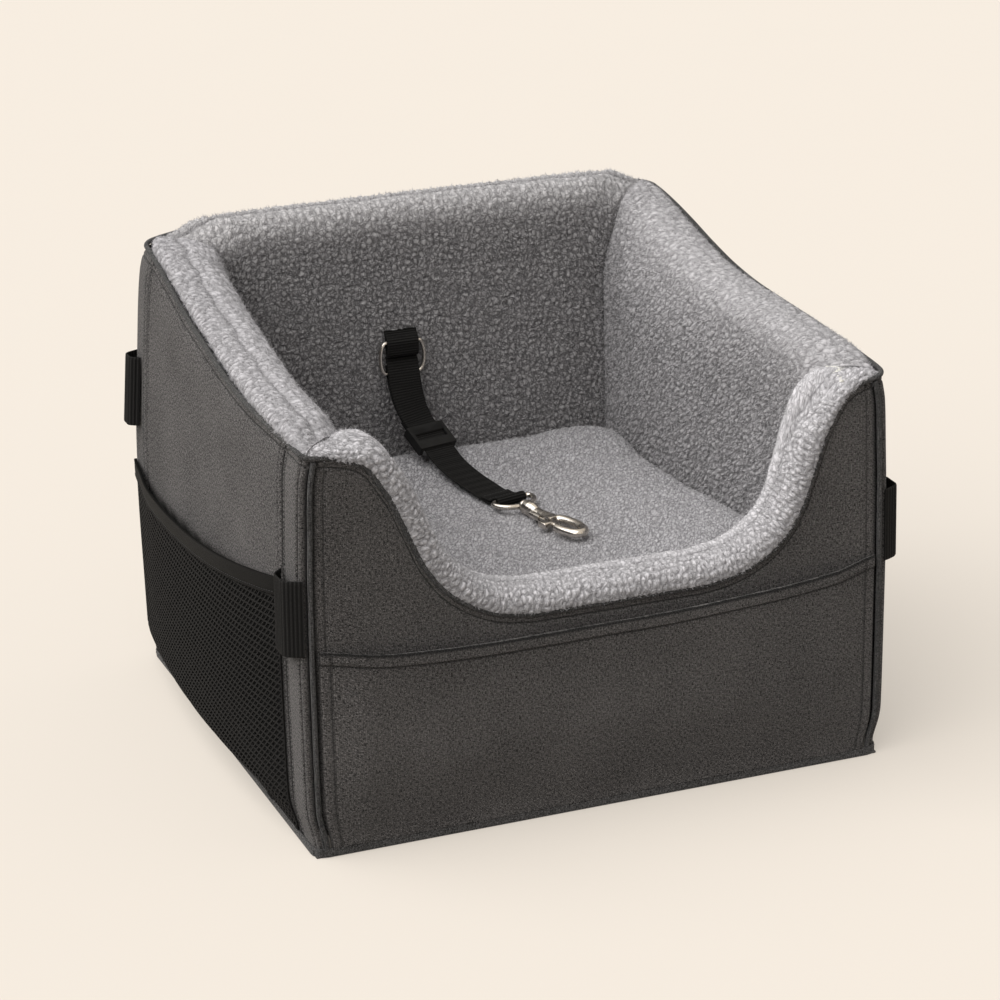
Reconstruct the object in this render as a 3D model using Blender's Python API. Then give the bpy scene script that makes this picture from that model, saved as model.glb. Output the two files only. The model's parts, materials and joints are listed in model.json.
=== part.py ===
"""Booster car seat for a small dog: boarded fabric tub, fleece lining, cushion and tether."""
import math

import bmesh
import bpy
from mathutils import Matrix, Vector

# Shell, measured over the outer cloth. X is the width, the entry is at -Y, the floor is z = 0.
body_width = 0.420
body_depth = 0.383
front_height = 0.284
rear_height = 0.334
scoop_height = 0.1525
side_lean = 0.0067
end_lean = 0.0030
corner_radius = 0.008
corner_strip_depth = 0.0315
side_bulge = 0.005
end_bulge = 0.0015
running_gap = 0.0003

# Layers of a wall, from the outside in.
cloth_thickness = 0.0020
board_thickness = 0.0025
lining_thickness = 0.0080
wall_thickness = 0.0380
rim_rise = 0.0105
rim_drop = 0.0120
rim_hem = 0.0060
rim_end_round = 0.0140
foam_crest_clearance = 0.0009
board_top_clearance = 0.0014

# Base, riser and cushion.
base_cloth_thickness = 0.0020
base_board_thickness = 0.0030
base_binding_height = 0.0060
base_binding_thickness = 0.0012
base_binding_lift = 0.0005
riser_height = 0.0850
riser_clearance = 0.0015
cushion_thickness = 0.0495
cushion_crown = 0.0030
cushion_clearance = 0.0012
cushion_edge_radius = 0.0140
cushion_corner_radius = 0.0300
cushion_side_draw = 0.0040
fleece_pile = 0.0100

# Cord-filled trims.
piping_radius = 0.0018
piping_inset = 0.0002

# Patch pocket across the front.
patch_pocket_margin = 0.0115
patch_pocket_height = 0.1390
patch_pocket_end_rise = 0.0120
patch_pocket_cloth = 0.0016
patch_pocket_hem_height = 0.0105
patch_pocket_hem_thickness = 0.0028
patch_pocket_depth = 0.0064
patch_pocket_side_taper = 0.0300

# Net pockets on both sides.
net_front_margin = 0.0035
net_rear_margin = 0.0090
net_high_point = 0.1790
net_low_point = 0.1420
net_stand = 0.0120
net_thread = 0.0011
net_strand_width = 0.0030
net_columns = 9
net_rows = 4
net_binding_height = 0.0130
net_binding_thickness = 0.0024

# Belt loops over the corner strips.
belt_loop_height = 0.0530
belt_loop_webbing = 0.0016
belt_loop_stand = 0.0090
belt_loop_margin = 0.0020
front_belt_loop_centre = 0.1720
rear_belt_loop_centre = 0.2060

# Tether: webbing, anchor, ring, slider.
webbing_width = 0.0250
webbing_thickness = 0.0015
tether_heading = math.radians(13.9)
anchor_offset = -0.0200
anchor_loop_height = 0.0160
ring_bar_height = 0.2400
ring_wire_radius = 0.0015
ring_depth = 0.0240
ring_side_bow = 0.0045
ring_side_clearance = 0.0005
ring_wall_distance = 0.0060
tether_reach = 0.1370
slider_length = 0.0240
slider_rail = 0.0030
slider_top = 0.0024
slider_bar_height = 0.0024
slider_bar_length = 0.0042
slider_window = 0.0070
slider_edge = 0.0010
slider_travel = 0.0080
fold_short_leg = 0.0050
fold_long_leg = 0.0220
eye_fold_flap = 0.0200

# Swivel bolt snap.
eye_wire_radius = 0.0016
eye_depth = 0.0165
eye_shoulder = 0.0040
eye_bow = 0.0025
swivel_boss_radius = 0.0042
swivel_boss_length = 0.0032
swivel_post_radius = 0.0020
swivel_head_radius = 0.0032
swivel_head_length = 0.0022
swivel_gap = 0.0003
barrel_radius = 0.0052
barrel_length = 0.0105
barrel_wall = 0.0018
neck_length = 0.0245
neck_width = 0.0066
neck_flare_width = 0.0084
neck_thickness = 0.0052
hook_length = 0.0400
hook_width = 0.0200
hook_wire_radius = 0.0024
hook_wire_flatness = 0.9
bolt_offset = 0.0060
bolt_radius = 0.0015
bolt_housing_radius = 0.0030
bolt_housing_length = 0.0235
bolt_travel = 0.0070
bolt_mouth = 0.0100
bolt_rear_length = 0.0095
thumb_tab_length = 0.0085
thumb_tab_width = 0.0026
thumb_tab_reach = 0.0052
bolt_spring_wire = 0.00022
bolt_spring_turns = 7
overrun = 0.0020

# Hand-chosen outlines. Positions are shares of the half size, heights are shares of the rise.
side_rim_shares = (
    (-1.0, -0.05), (-0.93, -0.01), (-0.78, 0.01), (-0.55, 0.035), (-0.28, 0.075), (0.0, 0.145),
    (0.25, 0.265), (0.45, 0.415), (0.62, 0.575), (0.8, 0.725), (0.92, 0.8), (1.0, 0.83))
rear_rim_shares = ((0.0, 1.0), (0.55, 0.995), (0.82, 0.965), (0.93, 0.9), (1.0, 0.83))
scoop_shares = (
    (0.0, 0.0), (0.28, 0.0), (0.345, 0.01), (0.42, 0.032), (0.482, 0.07), (0.54, 0.122),
    (0.61, 0.212), (0.672, 0.348), (0.725, 0.548), (0.768, 0.723), (0.798, 0.812),
    (0.825, 0.885), (0.853, 0.925), (0.9, 0.955), (0.953, 0.972), (1.0, 0.981))
front_station_shares = (
    0.0, 0.16, 0.29, 0.37, 0.44, 0.5, 0.555, 0.605, 0.65, 0.69, 0.73, 0.77, 0.81, 0.85, 0.9, 1.0)
lining_station_shares = (
    0.0, 0.2, 0.36, 0.46, 0.54, 0.61, 0.67, 0.73, 0.78, 0.825, 0.87, 0.91, 0.95, 1.0)
side_station_shares = (
    -1.0, -0.985, -0.96, -0.93, -0.75, -0.5, -0.25, 0.0, 0.2, 0.38, 0.55, 0.72, 0.88,
    0.93, 0.96, 0.985, 1.0)
rear_station_shares = (-1.0, -0.93, -0.82, -0.55, 0.0, 0.55, 0.82, 0.93, 1.0)
plain_rim_shares = (-1.0, -0.8, -0.6, -0.4, -0.2, 0.0, 0.2, 0.4, 0.6, 0.8, 1.0)
patch_station_shares = (0.0, 0.45, 0.8, 0.86, 0.9, 0.94, 0.97, 1.0)
panel_row_shares = (0.0, 0.25, 0.5, 0.75, 1.0)
patch_row_shares = (0.0, 0.12, 0.3, 0.62)
loop_stand_shares = (
    (0.0, 0.0), (0.07, 0.3), (0.17, 0.76), (0.29, 1.0), (0.71, 1.0), (0.83, 0.76), (0.93, 0.3),
    (1.0, 0.0))
net_top_shares = (
    (0.0, 1.0), (0.04, 0.92), (0.18, 0.7), (0.37, 0.43), (0.52, 0.24), (0.73, 0.055), (0.86, 0.0),
    (1.0, 0.25))
strap_route_shares = (
    (0.0, 1.0), (0.025, 0.87), (0.062, 0.72), (0.105, 0.575), (0.15, 0.4667), (0.17, 0.4433),
    (0.39, 0.1866), (0.41, 0.1633), (0.5, 0.098), (0.61, 0.05), (0.73, 0.02), (0.83, 0.005),
    (0.92, 0.0), (1.0, 0.0))
strap_station_shares = (
    0.02, 0.045, 0.075, 0.11, 0.15, 0.2, 0.3, 0.39, 0.44, 0.5, 0.57, 0.65, 0.74, 0.83, 0.92, 1.0)
slider_share = 0.30
strap_turn_share = 0.16
steep_blend_shares = (0.8, 1.0)
strap_closing_share = 0.12
strap_merge_shares = (0.7, 0.9)
eye_fold_shares = (0.25, 0.5, 1.0)
end_fold_shares = (0.15, 0.35, 0.6, 1.0)
end_fold_rise_shares = (0.15, 0.45)
strip_station_shares = (0.0, 0.4, 1.0)
cushion_ring_shares = (0.82, 0.6, 0.36, 0.15)
rim_end_share = 0.3
fine_share = 0.0025
patch_pocket_rise_power = 5
net_arch_power = 0.7
net_swell_share = 0.35
net_top_share = 0.75
neck_shares = ((-0.06, 1.0), (0.3, 0.94), (0.62, 1.0))
neck_flare_shares = ((0.9, 1.0), (1.0, 0.8))
hook_start_share = 0.94
hook_oval_power = 0.8
boss_foot_share = 0.6
housing_end_share = 0.7

# Derived places.
half_width = body_width / 2
half_depth = body_depth / 2
wall_base = base_cloth_thickness + running_gap
layer_base = wall_base + base_board_thickness + running_gap
board_inset = cloth_thickness + running_gap
foam_inset = board_inset + board_thickness + running_gap
lining_inset = wall_thickness - lining_thickness
cavity_half_width = half_width - wall_thickness
cavity_half_depth = half_depth - wall_thickness
seam_distance = half_depth - corner_strip_depth
cushion_base = layer_base + riser_height + running_gap
cushion_top = cushion_base + cushion_thickness
end_rise = rear_height - front_height
scoop_rise = front_height - scoop_height
ring_bar_half = webbing_width / 2 + ring_side_clearance
tether_lie_height = cushion_top + fleece_pile + webbing_thickness / 2
layer_pitch = webbing_thickness + running_gap
ring_turn = ring_wire_radius + running_gap + webbing_thickness / 2
eye_turn = eye_wire_radius + running_gap + webbing_thickness / 2

FINISHES = {
    "shell_fabric": ((0.115, 0.113, 0.113), 0.9, 0.0),
    "sherpa": ((0.52, 0.51, 0.52), 0.95, 0.0),
    "binding": ((0.014, 0.014, 0.015), 0.8, 0.0),
    "webbing": ((0.012, 0.012, 0.013), 0.75, 0.0),
    "mesh_net": ((0.01, 0.01, 0.01), 0.7, 0.0),
    "stiffener_board": ((0.32, 0.30, 0.27), 0.6, 0.0),
    "foam": ((0.75, 0.73, 0.66), 0.9, 0.0),
    "nickel": ((0.72, 0.69, 0.65), 0.22, 1.0),
    "slider_plastic": ((0.015, 0.015, 0.016), 0.45, 0.0),
    "spring_steel": ((0.55, 0.55, 0.56), 0.3, 1.0),
}


def curve_value(points, place):
    """Height of a smooth curve through hand-chosen points, with no overshoot between them."""
    spans = [b[0] - a[0] for a, b in zip(points, points[1:])]
    rises = [(b[1] - a[1]) / span for a, b, span in zip(points, points[1:], spans)]
    slopes = [rises[0]]
    for before, after in zip(rises, rises[1:]):
        slopes.append(2 * before * after / (before + after) if before * after > 0 else 0.0)
    slopes.append(rises[-1])
    place = min(max(place, points[0][0]), points[-1][0])
    index = max(i for i in range(len(spans)) if points[i][0] <= place)
    t = (place - points[index][0]) / spans[index]
    start = points[index][1] * (2 * t ** 3 - 3 * t ** 2 + 1)
    start += slopes[index] * spans[index] * (t ** 3 - 2 * t ** 2 + t)
    end = points[index + 1][1] * (3 * t ** 2 - 2 * t ** 3)
    end += slopes[index + 1] * spans[index] * (t ** 3 - t ** 2)
    return start + end


def ease(share):
    """A step from 0 to 1 that starts and ends level."""
    share = min(max(share, 0.0), 1.0)
    return share * share * (3 - 2 * share)


def mix(low, high, share):
    """The value a share of the way from low to high."""
    return low + (high - low) * share


def side_rim(along):
    """Height of the cloth edge on the two side walls."""
    return front_height + end_rise * curve_value(side_rim_shares, along / half_depth)


def rear_rim(along):
    """Height of the cloth edge on the rear wall."""
    return front_height + end_rise * curve_value(rear_rim_shares, abs(along) / half_width)


def front_rim(along):
    """Height of the cloth edge on the front wall, down through the entry scoop."""
    return scoop_height + scoop_rise * curve_value(scoop_shares, abs(along) / half_width)


RIMS = {"front": front_rim, "rear": rear_rim, "left": side_rim, "right": side_rim}


def rim_normal(side, along, upright_ends=False):
    """Direction square to the rim, along the wall and up. Only the scoop turns it."""
    if side != "front":
        return 0.0, 1.0
    step = half_width * fine_share
    slope = (front_rim(along + step) - front_rim(along - step)) / (2 * step)
    if upright_ends:
        start, stop = steep_blend_shares
        slope *= 1 - ease((abs(along) / cavity_half_width - start) / (stop - start))
    length = math.hypot(1.0, slope)
    return -slope / length, 1 / length


def place(side, along, inset, height):
    """A point of one wall, from its distance along the wall and in from the outer cloth."""
    if side == "front":
        return Vector((along, inset - half_depth, height))
    if side == "rear":
        return Vector((along, half_depth - inset, height))
    sign = -1 if side == "left" else 1
    return Vector((sign * (half_width - inset), along, height))


def lean(point):
    """The walls lean in towards the top, so each height is drawn in a little."""
    share = point.z / front_height
    narrow = 1 - side_lean / half_width * share
    shorten = 1 - end_lean / half_depth * share
    return Vector((point.x * narrow, point.y * shorten, point.z))


def finish(slot):
    """The material of one slot, made once."""
    material = bpy.data.materials.get(slot)
    if material is None:
        color, roughness, metallic = FINISHES[slot]
        material = bpy.data.materials.new(slot)
        material.use_nodes = True
        shader = material.node_tree.nodes["Principled BSDF"]
        shader.inputs["Base Color"].default_value = (*color, 1.0)
        shader.inputs["Roughness"].default_value = roughness
        shader.inputs["Metallic"].default_value = metallic
        material.diffuse_color = (*color, 1.0)
    return material


def add_object(name, data, slot=None):
    """Puts a mesh or a curve in the scene under its part's name."""
    item = bpy.data.objects.new(name, data)
    bpy.context.scene.collection.objects.link(item)
    if slot:
        data.materials.append(finish(slot))
    return item


def add_mesh(name, shape, slot=None, smooth_angle=math.radians(38)):
    """Turns a bmesh into an object with its faces pointing out and its round parts smooth."""
    bmesh.ops.recalc_face_normals(shape, faces=shape.faces)
    mesh = bpy.data.meshes.new(name)
    shape.to_mesh(mesh)
    shape.free()
    mesh.shade_smooth()
    mesh.set_sharp_from_angle(angle=smooth_angle)
    return add_object(name, mesh, slot)


def skin(shape, sections, closed=False):
    """Covers a row of closed sections with faces, and caps its two ends."""
    rows = [[shape.verts.new(point) for point in section] for section in sections]
    pairs = list(zip(rows, rows[1:]))
    if closed:
        pairs.append((rows[-1], rows[0]))
    for row, following in pairs:
        for i in range(len(row)):
            j = (i + 1) % len(row)
            shape.faces.new((row[i], row[j], following[j], following[i]))
    if not closed:
        shape.faces.new(rows[0])
        shape.faces.new(rows[-1])


def add_skin(name, sections, slot, leaning=False, closed=False):
    """An object made of one skinned row of sections."""
    shape = bmesh.new()
    skin(shape, sections, closed)
    if leaning:
        for vertex in shape.verts:
            vertex.co = lean(vertex.co)
    return add_mesh(name, shape, slot)


def plan_outline(half_x, half_y, radius, height, corner_steps=4, side_steps=1):
    """A rounded rectangle seen from above, as points at one height."""
    points = []
    for quarter in range(4):
        sign_x = 1 if quarter in (0, 3) else -1
        sign_y = 1 if quarter in (0, 1) else -1
        centre = Vector((sign_x * (half_x - radius), sign_y * (half_y - radius), height))
        for step in range(corner_steps + 1):
            angle = math.pi / 2 * (quarter + step / corner_steps)
            points.append(centre + radius * Vector((math.cos(angle), math.sin(angle), 0)))
        following = Vector((-sign_y * (half_x - radius), sign_x * (half_y - radius), height))
        turned = math.pi / 2 * (quarter + 1)
        following += radius * Vector((math.cos(turned), math.sin(turned), 0))
        for step in range(1, side_steps):
            points.append(points[-1].lerp(following, 1 / (side_steps - step + 1)))
    return points


def base_bulge(side, along, height):
    """How far the stuffed wall pushes its cloth out at one place."""
    reach, amount = {
        "front": (half_width, 0.0), "rear": (half_width - corner_radius, end_bulge),
        "left": (seam_distance, side_bulge), "right": (seam_distance, side_bulge)}[side]
    across = max(0.0, 1 - (along / reach) ** 2)
    return amount * across * math.sin(math.pi * min(height / RIMS[side](along), 1.0))


def panel_stations(side):
    """Distances along a wall at which its cloth edge and its piping have their points."""
    if side in ("left", "right"):
        return [share * (seam_distance - running_gap / 2) for share in plain_rim_shares]
    shares = mirrored(front_station_shares) if side == "front" else rear_station_shares
    return [share * (half_width - corner_radius - piping_radius - running_gap)
            for share in shares]


def cloth_panel(side):
    """The outer cloth of one wall, cut to the rim's line."""
    sections = []
    for along in panel_stations(side):
        top = RIMS[side](along)
        heights = [mix(wall_base, top, row) for row in panel_row_shares]
        outer = [place(side, along, -base_bulge(side, along, z), z) for z in heights]
        inner = [place(side, along, cloth_thickness - base_bulge(side, along, z), z)
                 for z in heights]
        sections.append(outer + inner[::-1])
    return add_skin(side + "_panel", sections, "shell_fabric", leaning=True)


def wall_layer(name, side, half_length, station_shares, profile, slot, end_round=0.0):
    """One layer of a wall. Its profile holds pairs: inset, and height over the rim or None."""
    centre_inset = (board_inset + wall_thickness) / 2
    inner_radius = corner_radius - board_inset
    sections = []
    for share in station_shares:
        along = share * half_length
        rim = RIMS[side](along)
        lengthwise, upward = rim_normal(side, along, upright_ends=True)
        swell, pull = 1.0, 0.0
        if end_round:
            from_end = half_length - abs(along)
            short = max(0.0, 1 - from_end / end_round)
            swell = max(rim_end_share, math.sqrt(1 - short ** 2))
            turn = max(0.0, 1 - from_end / inner_radius)
            pull = inner_radius * (1 - math.sqrt(1 - turn ** 2))
        section = []
        for inset, over in profile:
            drawn = pull * max(0.0, (centre_inset - inset) / (centre_inset - board_inset))
            if over is None:
                section.append(place(side, along, inset + drawn, layer_base))
                continue
            lift = over * swell if over > 0 else over
            point = place(side, along + lift * lengthwise, inset + drawn, rim + lift * upward)
            section.append(point)
        sections.append(section)
    return add_skin(name, sections, slot, leaning=True)


def rim_arc(half_span, rise, steps=6):
    """The rounded top of a wall: up from the outer edge, over, and down to the inner edge."""
    centre = (board_inset + wall_thickness) / 2
    points = []
    for step in range(steps + 1):
        angle = math.pi * step / steps
        over = rise * math.sin(angle)
        if angle > math.pi / 2:
            over = (rise + rim_drop) * math.sin(angle) - rim_drop
        points.append((centre - half_span * math.cos(angle), over))
    return points


def build_walls():
    """Cloth, board, foam and fleece lining of the four walls."""
    centre = (board_inset + wall_thickness) / 2
    lining_span = wall_thickness - centre
    foam_span = lining_span - lining_thickness - foam_crest_clearance
    board_top = -rim_hem - board_top_clearance
    foam_shoulder = -rim_hem - running_gap
    board_back = board_inset + board_thickness
    foam_back = lining_inset - running_gap
    lining_profile = [(board_inset, -rim_hem)] + rim_arc(lining_span, rim_rise)
    lining_profile += [(wall_thickness, None), (lining_inset, None)]
    lining_profile += rim_arc(lining_span - lining_thickness, rim_rise - lining_thickness)[::-1]
    lining_profile += [(board_inset + lining_thickness, -rim_hem)]
    board_profile = [(board_inset, None), (board_inset, board_top), (board_back, board_top),
                     (board_back, None)]
    foam_profile = [(foam_inset, None), (foam_inset, foam_shoulder),
                    (centre - foam_span, foam_shoulder)]
    foam_profile += rim_arc(foam_span, rim_rise - lining_thickness - foam_crest_clearance)
    foam_profile += [(foam_back, None)]
    front_back_shares = {"front": mirrored(front_station_shares), "rear": rear_station_shares}
    for side, shares in front_back_shares.items():
        cloth_panel(side)
        wall_layer(side + "_stiffener", side, half_width - corner_radius, shares,
                   board_profile, "stiffener_board")
        if side == "front":
            shares = mirrored(lining_station_shares)
        between_sides = cavity_half_width - running_gap
        wall_layer(side + "_foam", side, between_sides, shares, foam_profile, "foam")
        wall_layer(side + "_lining", side, between_sides, shares, lining_profile, "sherpa")
    for side in ("left", "right"):
        cloth_panel(side)
        wall_layer(side + "_stiffener", side, half_depth - corner_radius, side_station_shares,
                   board_profile, "stiffener_board")
        wall_layer(side + "_foam", side, half_depth - foam_inset, side_station_shares,
                   foam_profile, "foam", end_round=rim_end_round)
        wall_layer(side + "_lining", side, half_depth - foam_inset, side_station_shares,
                   lining_profile, "sherpa", end_round=rim_end_round)


def mirrored(shares):
    """Shares from the middle outwards, laid out on both sides."""
    return [-share for share in shares[:0:-1]] + list(shares)


def strip_stations():
    """Distances from the middle at which the flat part of a corner strip has its points."""
    return [mix(half_depth - corner_radius, seam_distance, share)
            for share in strip_station_shares]


def corner_plan(sign_x, sign_y, inset, angle):
    """A point on a corner's arc, from the end wall at 0 round to the side wall at a right angle."""
    radius = corner_radius - inset
    x = half_width - corner_radius + radius * math.sin(angle)
    y = half_depth - corner_radius + radius * math.cos(angle)
    return Vector((sign_x * x, sign_y * y, 0))


def corner_height(sign_y, angle):
    """Rim height round a corner, from the end wall's to the side wall's."""
    end_rim = front_rim if sign_y < 0 else rear_rim
    start = end_rim(half_width - corner_radius)
    return mix(start, side_rim(sign_y * (half_depth - corner_radius)), angle / (math.pi / 2))


def build_corner_strips():
    """The cloth strips that turn the four corners, back to the side seams."""
    skipped = (piping_radius + running_gap) / corner_radius
    arc_steps = 4
    for name, sign_x, sign_y in CORNERS:
        sections = []
        for step in range(arc_steps + 1):
            angle = mix(skipped, math.pi / 2, step / arc_steps)
            outer = corner_plan(sign_x, sign_y, 0, angle)
            inner = corner_plan(sign_x, sign_y, cloth_thickness, angle)
            sections.append((outer, inner, corner_height(sign_y, angle)))
        for distance in strip_stations()[1:]:
            along = sign_y * max(distance, seam_distance + running_gap / 2)
            outer = Vector((sign_x * half_width, along, 0))
            inner = Vector((sign_x * (half_width - cloth_thickness), along, 0))
            sections.append((outer, inner, side_rim(along)))
        rows = []
        for outer, inner, top in sections:
            low, high = Vector((0, 0, wall_base)), Vector((0, 0, top))
            rows.append([outer + low, outer + high, inner + high, inner + low])
        add_skin(name + "_corner_strip", rows, "shell_fabric", leaning=True)


def add_tube(name, points, radius, slot, sides=3, cyclic=False):
    """A round tube along a route, as a bevelled curve."""
    curve = bpy.data.curves.new(name, "CURVE")
    curve.dimensions = "3D"
    curve.bevel_depth = radius
    curve.bevel_resolution = sides - 2
    curve.use_fill_caps = not cyclic
    spline = curve.splines.new("POLY")
    spline.points.add(len(points) - 1)
    for target, point in zip(spline.points, points):
        target.co = (*point, 1.0)
    spline.use_cyclic_u = cyclic
    return add_object(name, curve, slot)


def build_piping():
    """Piping up the four corners, and one ring of it round the whole rim."""
    start = base_binding_lift + base_binding_height + running_gap
    for name, sign_x, sign_y in CORNERS:
        foot = corner_plan(sign_x, sign_y, piping_inset, 0)
        top = corner_height(sign_y, 0) - running_gap
        route = [lean(foot + Vector((0, 0, mix(start, top, share)))) for share in (0.0, 0.5, 1.0)]
        add_tube(name + "_piping", route, piping_radius, "shell_fabric")
    over = piping_radius + running_gap
    route = []
    arc_steps = 4
    walls = (("front", 1), ("right", 1), ("rear", -1), ("left", -1))
    corners = ((1, -1, False), (1, 1, True), (-1, 1, False), (-1, -1, True))
    for (side, way), (sign_x, sign_y, reverse) in zip(walls, corners):
        stations = panel_stations(side)
        if side in ("left", "right"):
            ends = strip_stations()[:-1]
            stations = [-end for end in ends] + stations + ends[::-1]
        for along in stations[::way]:
            lengthwise, upward = rim_normal(side, along)
            height = RIMS[side](along) + over * upward
            route.append(lean(place(side, along + over * lengthwise, piping_inset, height)))
        for step in range(1, arc_steps):
            angle = math.pi / 2 * step / arc_steps
            if reverse:
                angle = math.pi / 2 - angle
            point = corner_plan(sign_x, sign_y, piping_inset, angle)
            point.z = corner_height(sign_y, angle) + over
            route.append(lean(point))
    add_tube("rim_piping", route, piping_radius, "shell_fabric", cyclic=True)


def build_base():
    """Bottom cloth, its binding, the base board and the riser block."""
    def slab(name, half_x, half_y, radius, low, high, slot):
        sections = [plan_outline(half_x, half_y, radius, z) for z in (low, high)]
        return add_skin(name, sections, slot)

    slab("base_cover", half_width, half_depth, corner_radius, 0, base_cloth_thickness,
         "shell_fabric")
    slab("base_board", half_width - board_inset, half_depth - board_inset,
         corner_radius - board_inset, wall_base, wall_base + base_board_thickness,
         "stiffener_board")
    riser_x = cavity_half_width - riser_clearance
    riser_y = cavity_half_depth - riser_clearance
    sections = [plan_outline(riser_x, riser_y, corner_radius, z)
                for z in (layer_base, layer_base + riser_height)]
    add_skin("riser_foam", sections, "foam", leaning=True)
    inner, outer = running_gap, running_gap + base_binding_thickness
    low, high = base_binding_lift, base_binding_lift + base_binding_height
    loops = []
    for proud, height in ((outer, low), (outer, high), (inner, high), (inner, low)):
        loops.append(plan_outline(half_width + proud, half_depth + proud,
                                  corner_radius + proud, height))
    sections = [list(section) for section in zip(*loops)]
    add_skin("base_binding", sections, "binding", closed=True)


def build_cushion():
    """The lift-out cushion: crowned, with rolled edges and sides drawn in between corners."""
    half_x = cavity_half_width * (1 - side_lean / half_width * cushion_top / front_height)
    half_x -= cushion_clearance
    half_y = cavity_half_depth * (1 - end_lean / half_depth * cushion_top / front_height)
    half_y -= cushion_clearance
    edge = cushion_edge_radius
    levels = [(edge, cushion_base)]
    for step in range(1, 4):
        turn = math.pi / 2 * step / 4
        levels.append((edge * (1 - math.sin(turn)), cushion_base + edge * (1 - math.cos(turn))))
    shoulder = cushion_base + cushion_thickness - cushion_crown - edge
    levels.append((0, cushion_base + edge))
    levels.append((0, shoulder))
    for step in range(1, 5):
        turn = math.pi / 2 * step / 4
        levels.append((edge * (1 - math.cos(turn)), shoulder + edge * math.sin(turn)))
    sections = []
    for inset, height in levels:
        outline = plan_outline(half_x - inset, half_y - inset, cushion_corner_radius - inset,
                               height, side_steps=5)
        sections.append([drawn_in(point, half_x, half_y) for point in outline])
    rim_level = sections[-1]
    for share in cushion_ring_shares:
        lift = cushion_crown * (1 - share ** 2)
        sections.append([Vector((p.x * share, p.y * share, p.z + lift)) for p in rim_level])
    add_skin("cushion", sections, "sherpa")


def drawn_in(point, half_x, half_y):
    """Pulls a cushion's sides in between its corners."""
    across = 1 - cushion_side_draw / half_x * max(0.0, 1 - (point.y / half_y) ** 2)
    along = 1 - cushion_side_draw / half_y * max(0.0, 1 - (point.x / half_x) ** 2)
    return Vector((point.x * across, point.y * along, point.z))


def build_patch_pocket():
    """The full-width pocket on the front, standing a little off the wall at its mouth."""
    reach = half_width - patch_pocket_margin
    foot = base_binding_lift + base_binding_height + running_gap
    sections = []
    for share in mirrored(patch_station_shares):
        along = share * reach
        top = patch_pocket_height + patch_pocket_end_rise * abs(share) ** patch_pocket_rise_power
        hem = top - patch_pocket_hem_height
        taper = ease((reach - abs(along)) / patch_pocket_side_taper)
        outer, inner = [], []
        rows = [mix(foot, hem, row) for row in patch_row_shares] + [hem]
        for height in rows:
            stand = patch_pocket_depth * taper * ease((height - foot) / (hem / 2))
            inner.append(place("front", along, -running_gap - stand, height))
            outer.append(inner[-1] + Vector((0, -patch_pocket_cloth, 0)))
        lip = patch_pocket_hem_thickness - patch_pocket_cloth
        outer.append(outer[-1] + Vector((0, -lip, lip)))
        outer.append(Vector((along, outer[-1].y, top)))
        inner.append(Vector((along, inner[-1].y, top)))
        sections.append(outer + inner[::-1])
    add_skin("front_pocket", sections, "shell_fabric", leaning=True)


def net_span(share):
    """Distance along the side wall of a share of the net pocket's length."""
    return mix(-seam_distance + net_front_margin, half_depth - net_rear_margin, share)


def net_top(share):
    """Height of the net's upper edge, which sags between its sewn ends."""
    return mix(net_low_point, net_high_point, curve_value(net_top_shares, share))


def net_offset(share, rise):
    """How far the net stands off its wall at one place."""
    arch = math.sin(math.pi * share) ** net_arch_power if 0 < share < 1 else 0.0
    return net_stand * arch * ease(rise / net_swell_share) * mix(1, net_top_share, rise)


def build_net_pockets():
    """A diamond net on each side with a wide elastic binding along its top."""
    foot = base_binding_lift + base_binding_height + running_gap
    for side in ("left", "right"):
        def surface(share, rise):
            along = net_span(share)
            height = mix(foot, net_top(share), rise)
            proud = base_bulge(side, min(along, seam_distance), height)
            proud += running_gap + net_thread + net_offset(share, rise)
            return place(side, along, -proud, height)

        net = bmesh.new()
        bmesh.ops.create_grid(net, x_segments=net_columns, y_segments=net_rows, size=0.5)
        grid_edges = [edge for edge in net.edges if not edge.is_boundary]
        bmesh.ops.poke(net, faces=net.faces[:])
        bmesh.ops.dissolve_edges(net, edges=grid_edges)
        for vertex in net.verts:
            share, rise = vertex.co.x + 0.5, vertex.co.y + 0.5
            vertex.co = lean(surface(share, rise))
        net.normal_update()
        frames = bmesh.ops.inset_individual(
            net, faces=net.faces[:], thickness=net_strand_width / 2, use_even_offset=True)
        holes = [face for face in net.faces if face not in set(frames["faces"])]
        bmesh.ops.delete(net, geom=holes, context="FACES_ONLY")
        outward = -1 if side == "left" else 1
        net.normal_update()
        if sum(face.normal.x for face in net.faces) * outward < 0:
            bmesh.ops.reverse_faces(net, faces=net.faces[:])
        mesh = bpy.data.meshes.new(side + "_net")
        net.to_mesh(mesh)
        net.free()
        item = add_object(side + "_net", mesh, "mesh_net")
        solidify = item.modifiers.new("Thread", "SOLIDIFY")
        solidify.thickness = net_thread
        solidify.offset = -1
        sections = []
        for column in range(net_columns + 1):
            base = surface(column / net_columns, 1.0)
            outward_step = Vector((outward, 0, 0))
            inner = base + Vector((0, 0, running_gap)) - net_thread * outward_step
            outer = inner + net_binding_thickness * outward_step
            rise = Vector((0, 0, net_binding_height))
            sections.append([inner, outer, outer + rise, inner + rise])
        add_skin(side + "_net_binding", sections, "binding", leaning=True)


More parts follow.
